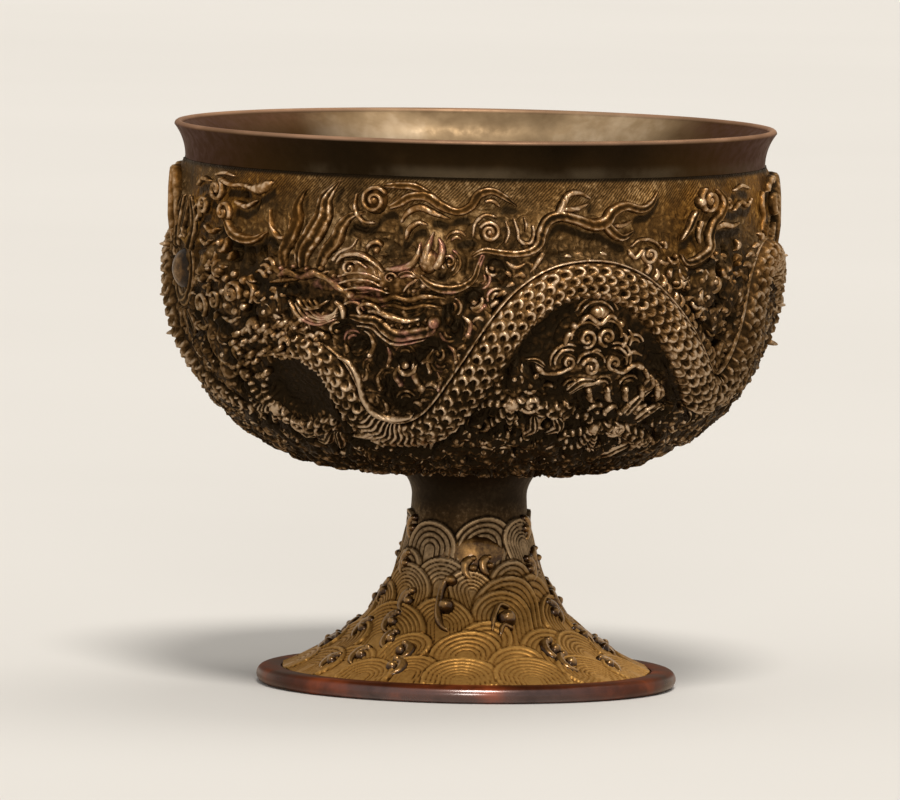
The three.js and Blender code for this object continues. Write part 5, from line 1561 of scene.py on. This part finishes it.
def finish_piece(piece, material, node):
    """Gives a piece its material and body, and hides the node that it stands for."""
    piece.data.materials.clear()
    piece.data.materials.append(material)
    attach(piece, BODY)
    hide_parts(node)


def make_piece(name, points, faces, worn, material, node, slot):
    """Makes a smooth piece that carries its wear on each vertex and stands for a node."""
    mesh = bpy.data.meshes.new(name)
    mesh.from_pydata(points.tolist(), [], faces)
    mesh.attributes.new("worn", "FLOAT", "POINT").data.foreach_set("value", worn)
    mesh.polygons.foreach_set("use_smooth", [True] * len(mesh.polygons))
    mesh.update()
    piece = bpy.data.objects.new(name, mesh)
    bpy.context.scene.collection.objects.link(piece)
    finish_piece(piece, material, node)
    return piece


def cast(relief, name, wall, side, material, node, slot):
    """Wraps a relief on the front of a wall, or its twin on the back."""
    points = wall.points(relief.places)
    if side == "back":
        points[:, :2] *= -1
    make_piece(f"{side}_{name}", points, relief.faces, relief.worn, material, node, slot)


def cast_both(relief, node, material):
    """Solders a casting to the front of the bowl and its twin to the back."""
    for side in SIDES:
        cast(relief, f"{node}_casting", BOWL, side, material, f"{side}_{node}", "relief_bronze")


def chased_sector(name, wall, surface, inside, low, columns, rows, start, end, **finish):
    """A sector of a turned casting between two angles in degrees, worked in relief outside down to a drop.

    surface gives the height and wear at places. inside is the rest of the outline, from there back to the
    top edge, as radius and height in millimetres.
    """
    degrees, down = np.meshgrid(np.linspace(start, end, columns), np.linspace(0, low, rows))
    height, worn = surface(degrees, down)
    outer = wall.points(np.stack([degrees, down, height], axis=-1).reshape(-1, 3))
    turn = np.radians(degrees[0])
    inner = [
        np.column_stack([r * np.sin(turn), -r * np.cos(turn), np.full(columns, z)]) * MM
        for r, z in inside
    ]
    count = rows + len(inside)
    index = np.arange(count * columns).reshape(count, columns)
    faces = quads(np.vstack([index, index[:1]]))
    faces.append(index[::-1, 0].tolist())
    faces.append(index[:, -1].tolist())
    worn = np.concatenate([worn.reshape(-1), np.zeros(len(inside) * columns)])
    piece = make_piece(name, np.vstack([outer, *inner]), faces, worn, **finish)
    across = np.tile(np.linspace(start / 180, end / 180, columns), count)
    along = np.repeat(np.linspace(0, 1, rows).tolist() + [1.0] * len(inside), columns)
    corners = np.empty(len(piece.data.loops), int)
    piece.data.loops.foreach_get("vertex_index", corners)
    layer = piece.data.uv_layers.new(name="wall")
    layer.data.foreach_set("uv", np.column_stack([across, along])[corners].reshape(-1))
    return piece


def chase(sectors, name, *shape, **finish):
    """Makes a chased casting in sectors, which are named and run round it from -90 degrees."""
    step = 360 / len(sectors)
    for number, sector in enumerate(sectors):
        start = -90 + number * step
        piece = chased_sector(f"{sector}_{name}", *shape, start, start + step, **finish)
        deselect()
        piece.select_set(True)
        bpy.context.view_layer.objects.active = piece
        bpy.ops.object.shade_smooth_by_angle(angle=math.radians(70))


def deselect():
    """Leaves nothing selected, because operators act on all that is."""
    bpy.ops.object.select_all(action="DESELECT")


def turn_outline(name, outline, closed):
    """Turns an outline of radius and height in millimetres round the axis, as on a lathe."""
    deselect()
    bpy.ops.mesh.primitive_circle_add(vertices=3, radius=MM)
    piece = bpy.context.object
    piece.name = name
    bpy.ops.object.mode_set(mode="EDIT")
    mesh = bmesh.from_edit_mesh(piece.data)
    mesh.clear()
    verts = [mesh.verts.new((radius * MM, 0, z * MM)) for radius, z in outline]
    pairs = list(zip(verts, verts[1:])) + ([(verts[-1], verts[0])] if closed else [])
    for a, b in pairs:
        mesh.edges.new((a, b))
    bmesh.update_edit_mesh(piece.data)
    bpy.ops.mesh.select_all(action="SELECT")
    steps = bpy.context.scene.cup_sizes.turned_steps
    bpy.ops.mesh.spin(steps=steps, angle=2 * math.pi, center=(0, 0, 0), axis=(0, 0, 1))
    bpy.ops.mesh.select_all(action="SELECT")
    bpy.ops.mesh.remove_doubles(threshold=1e-7)
    bpy.ops.mesh.normals_make_consistent(inside=False)
    bpy.ops.object.mode_set(mode="OBJECT")
    bpy.ops.object.shade_smooth_by_angle(angle=math.radians(40))
    return piece


def arc(centre, radius, start, end, steps):
    """Points of a round stretch of an outline, with angles in degrees from the outward side."""
    angles = np.radians(np.linspace(start, end, steps))
    return [(centre[0] + radius * math.cos(a), centre[1] + radius * math.sin(a)) for a in angles]


# Operators


class MAKE_OT_liner(bpy.types.Operator):
    """Turn the smooth liner with its flared lip"""

    bl_idname = "stem_cup.liner"
    bl_label = "Liner"

    def execute(self, context):
        inside = [point for point in bowl_outline(LINER_INSIDE, 60) if point[1] > LINER_FLOOR_Z + 0.15]
        outside = [point for point in bowl_outline(LINER_OUTSIDE, 60) if point[1] > LINER_BASE_Z + 0.15]
        edge = context.scene.cup_sizes.lip_edge / MM
        lip_z = LIP_Z - edge / 2
        outline = [(0, LINER_BASE_Z), *outside[::-1]]
        outline += bezier([(NECK_RADIUS, SHELL_TOP_Z + 0.05), (NECK_RADIUS, LIP_FLARE_Z),
                           (LIP_RADIUS, lip_z)], 14)
        outline += arc((LIP_RADIUS - edge / 2, lip_z), edge / 2, 20, 160, 7)
        flare = (NECK_INSIDE_RADIUS + 0.05, LIP_FLARE_Z)
        outline += bezier([(LIP_RADIUS - edge, lip_z), flare, (NECK_INSIDE_RADIUS, SHELL_TOP_Z)], 14)
        outline += [*inside[1:], (0, LINER_FLOOR_Z)]
        piece = turn_outline("liner_turning", outline, closed=False)
        finish_piece(piece, liner_patina(), "liner")
        return {"FINISHED"}


class MAKE_OT_bowl(bpy.types.Operator):
    """Cast the wall of the bowl, chase its ground and crowd it with small curls"""

    bl_idname = "stem_cup.bowl"
    bl_label = "Bowl"

    def execute(self, context):
        # the chased ground ends just outside the seat on the stem
        down = np.linspace(55, BOWL.lengths[-1], 400)
        low = float(down[np.argmax(BOWL.radius(down) < STEM_SEAT_RADIUS + 0.1)])
        wall = [point for point in bowl_outline(CAST_WALL, 60)[::4] if point[1] > BOWL_FLOOR_Z + 0.05]
        inside = [(STEM_SEAT_RADIUS, BOWL_SEAT_Z), (STUD_HOLE_RADIUS, BOWL_SEAT_Z),
                  (STUD_HOLE_RADIUS, BOWL_FLOOR_Z)]
        inside += wall[::-1]
        quarters = ("front_left", "front_right", "back_left", "back_right")
        finish = {"material": bowl_patina(), "node": "shell", "slot": "shell_bronze"}
        chase(quarters, "bowl_casting", BOWL, ground, inside, low, *BOWL_GRID, **finish)
        curls = small_curls()
        finish["material"] = relief_patina("Small relief patina", 0.6, beading=0.55)
        for side in SIDES:
            cast(curls, "small_curls", BOWL, side, **finish)
        return {"FINISHED"}


class MAKE_OT_dragons(bpy.types.Operator):
    """Cast both dragons: body, head, jaw, crest, mane and legs"""

    bl_idname = "stem_cup.dragons"
    bl_label = "Dragons"

    def execute(self, context):
        hair_patina = relief_patina("Dragon patina", 0.55, beading=0.4)
        head_patina = relief_patina("Dragon head patina", 0.35, blush=True)
        leg_patina = relief_patina("Dragon leg patina", 0.3, rubbing=0.22, beading=0.25)
        patinas = dict.fromkeys(LEGS, leg_patina)
        patinas["dragon_body"] = relief_patina("Dragon body patina", 0.3, rubbing=0.2, beading=0.15)
        patinas["dragon_head"] = patinas["dragon_jaw"] = head_patina
        patinas["dragon_crest"] = patinas["dragon_mane"] = hair_patina
        for node, relief in castings().items():
            if node in patinas:
                cast_both(relief, node, patinas[node])
        return {"FINISHED"}


class MAKE_OT_pearls(bpy.types.Operator):
    """Cast both flaming pearls"""

    bl_idname = "stem_cup.pearls"
    bl_label = "Flaming pearls"

    def execute(self, context):
        pearl_patina = relief_patina("Pearl patina", 0.3, rubbing=-0.1, beading=0.05, gloss=0.3)
        cast_both(castings()["pearl"], "pearl", pearl_patina)
        flame_patina = relief_patina("Pearl flame patina", 0.4, rubbing=-0.1, beading=0.2)
        cast_both(castings()["pearl_flames"], "pearl_flames", flame_patina)
        return {"FINISHED"}


class MAKE_OT_clouds(bpy.types.Operator):
    """Cast the scrolling clouds"""

    bl_idname = "stem_cup.clouds"
    bl_label = "Clouds"

    def execute(self, context):
        patina = relief_patina("Cloud patina", 0.5)
        for node, relief in castings().items():
            if node.startswith("cloud"):
                cast_both(relief, node, patina)
        return {"FINISHED"}


class MAKE_OT_foot(bpy.types.Operator):
    """Cast the hollow stem and foot, chase its waves and add the foam"""

    bl_idname = "stem_cup.foot"
    bl_label = "Stem and foot"

    def execute(self, context):
        inner = [(r - 0.75 * FOOT_WALL, z - 0.66 * FOOT_WALL) for r, z in foot_outline(40)[::-1]]
        hollow = [(r, z) for r, z in inner if 1.2 < z < WEB_Z - 0.75 and r > STEM_HOLLOW_RADIUS + 0.1]
        inside = [(FOOT_EDGE_RADIUS, RING_STEP_Z), (FOOT_INSIDE_RADIUS, RING_STEP_Z), *hollow]
        inside += [(STEM_HOLLOW_RADIUS, WEB_Z), (STUD_HOLE_RADIUS, WEB_Z), (STUD_HOLE_RADIUS, STEM_SEAT_Z)]
        finish = {"material": foot_patina(), "node": "stem_and_foot", "slot": "foot_bronze"}
        chase(SIDES, "foot_casting", FOOT, waves, inside, float(FOOT.lengths[-1]), *FOOT_GRID, **finish)
        drops = foam()
        finish["material"] = foam_patina()
        for side in SIDES:
            cast(drops, "foam", FOOT, side, **finish)
        return {"FINISHED"}


class MAKE_OT_foot_ring(bpy.types.Operator):
    """Turn the red copper ring that the cup stands on"""

    bl_idname = "stem_cup.foot_ring"
    bl_label = "Foot ring"

    def execute(self, context):
        rounding = arc(RING_SIDE, RING_ROUNDING, -80, 80, 14)
        outline = [(RING_INSIDE_RADIUS, 0.0), (29.9, 0.0), *rounding, (28.2, 2.6)]
        outline += [(RING_SEAT_RADIUS + 0.05, 2.45), (RING_SEAT_RADIUS, RING_STEP_Z),
                    (RING_INSIDE_RADIUS, RING_STEP_Z)]
        piece = turn_outline("foot_ring_turning", outline, closed=True)
        finish_piece(piece, copper_patina(), "foot_ring")
        return {"FINISHED"}


class MAKE_OT_fixings(bpy.types.Operator):
    """Finish the hidden stud, washer and nut"""

    bl_idname = "stem_cup.fixings"
    bl_label = "Fixings"

    def execute(self, context):
        brass = brass_finish()
        for node in ("stud", "stud_washer", "stud_nut"):
            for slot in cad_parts[node].material_slots:
                slot.material = brass
        return {"FINISHED"}


class MAKE_OT_stage(bpy.types.Operator):
    """Set the cup on a pale floor under soft lights, with the camera where the photographer stood"""

    bl_idname = "stem_cup.stage"
    bl_label = "Stage"

    def execute(self, context):
        self.add_floor(context)
        self.add_lights(context)
        self.add_world(context)
        self.add_camera(context)
        context.scene.view_settings.view_transform = "Standard"
        return {"FINISHED"}

    def add_floor(self, context):
        """A floor 12 m wide."""
        deselect()
        bpy.ops.mesh.primitive_plane_add(size=12, location=(0, 0, 0))
        floor = context.object
        floor.name = "floor"
        floor.data.materials.append(floor_finish())

    def add_lights(self, context):
        """Three wide, warm lights, which shine from places towards the cup."""
        lamps = [
            # name, where the light comes from, width of the soft source in degrees, strength
            ("key", (0.10, -0.66, 1.0), 16, 2.3),
            ("front", (0.03, -1.0, 0.22), 12, 0.7),
            ("top", (0.35, 0.5, 1.0), 40, 0.7),
        ]
        for name, place, width, strength in lamps:
            lamp = bpy.data.lights.new(name, "SUN")
            lamp.angle = math.radians(width)
            lamp.energy = strength
            lamp.color = (1.0, 0.96, 0.90)
            holder = bpy.data.objects.new(name, lamp)
            context.scene.collection.objects.link(holder)
            holder.matrix_world = Vector(place).to_track_quat("Z", "Y").to_matrix().to_4x4()

    def add_world(self, context):
        """A faint warm light from all round, and a pale wall for what the camera and the metal see."""
        world = bpy.data.worlds.new("studio")
        world.use_nodes = True
        tree = world.node_tree
        tree.nodes.clear()
        light = signal(tree, "Background", {"Color": (1, 0.96, 0.90), "Strength": 0.36})
        wall = signal(tree, "Background", {"Color": (0.70, 0.69, 0.67), "Strength": 1.0})
        rays = ("Camera", "Glossy", "Transmission")
        camera, glossy, through = (signal(tree, "LightPath", output=f"Is {ray} Ray") for ray in rays)
        seen = maths("MAXIMUM", maths("MAXIMUM", camera, glossy), through)
        add_node(tree, "OutputWorld", {"Surface": signal(tree, "MixShader", {0: seen, 1: light, 2: wall})})
        context.scene.world = world

    def add_camera(self, context):
        """A long lens 2 m away, a little above the lip. Its turns are in degrees."""
        pitch, yaw, roll = 4.30, 0.0897, 1.012
        camera = bpy.data.cameras.new("camera")
        camera.sensor_width = 36.0
        camera.lens = 536.5
        camera.clip_start = 0.1
        holder = bpy.data.objects.new("camera", camera)
        context.scene.collection.objects.link(holder)
        place = Matrix.Translation((0, -2.0, 0.193))
        for angle, axis in ((yaw, "Z"), (90 - pitch, "X"), (roll, "Z")):
            place = place @ Matrix.Rotation(math.radians(angle), 4, axis)
        holder.matrix_world = place
        context.scene.camera = holder


OPERATORS = (
    MAKE_OT_liner, MAKE_OT_bowl, MAKE_OT_dragons, MAKE_OT_pearls, MAKE_OT_clouds, MAKE_OT_foot,
    MAKE_OT_foot_ring, MAKE_OT_fixings, MAKE_OT_stage,
)


class STEMCUP_PT_panel(bpy.types.Panel):
    """Lists the pieces of the cup"""

    bl_label = "Stem Cup"
    bl_space_type = "VIEW_3D"
    bl_region_type = "UI"
    bl_category = "Stem Cup"

    def draw(self, context):
        for operator in OPERATORS:
            self.layout.operator(operator.bl_idname)
        for group in (context.scene.cup_sizes, context.scene.cup_colours):
            for name in group.bl_rna.properties.keys():
                if name not in ("rna_type", "name"):
                    self.layout.prop(group, name)


CLASSES = (CupSizes, CupColours, *OPERATORS, STEMCUP_PT_panel)


def register():
    for each in CLASSES:
        bpy.utils.register_class(each)
    bpy.types.Scene.cup_sizes = bpy.props.PointerProperty(type=CupSizes)
    bpy.types.Scene.cup_colours = bpy.props.PointerProperty(type=CupColours)


def unregister():
    del bpy.types.Scene.cup_sizes
    del bpy.types.Scene.cup_colours
    for each in reversed(CLASSES):
        bpy.utils.unregister_class(each)


def main():
    register()
    bpy.ops.stem_cup.liner()
    bpy.ops.stem_cup.bowl()
    bpy.ops.stem_cup.dragons()
    bpy.ops.stem_cup.pearls()
    bpy.ops.stem_cup.clouds()
    bpy.ops.stem_cup.foot()
    bpy.ops.stem_cup.foot_ring()
    bpy.ops.stem_cup.fixings()
    bpy.ops.stem_cup.stage()


if __name__ == "__main__":
    main()
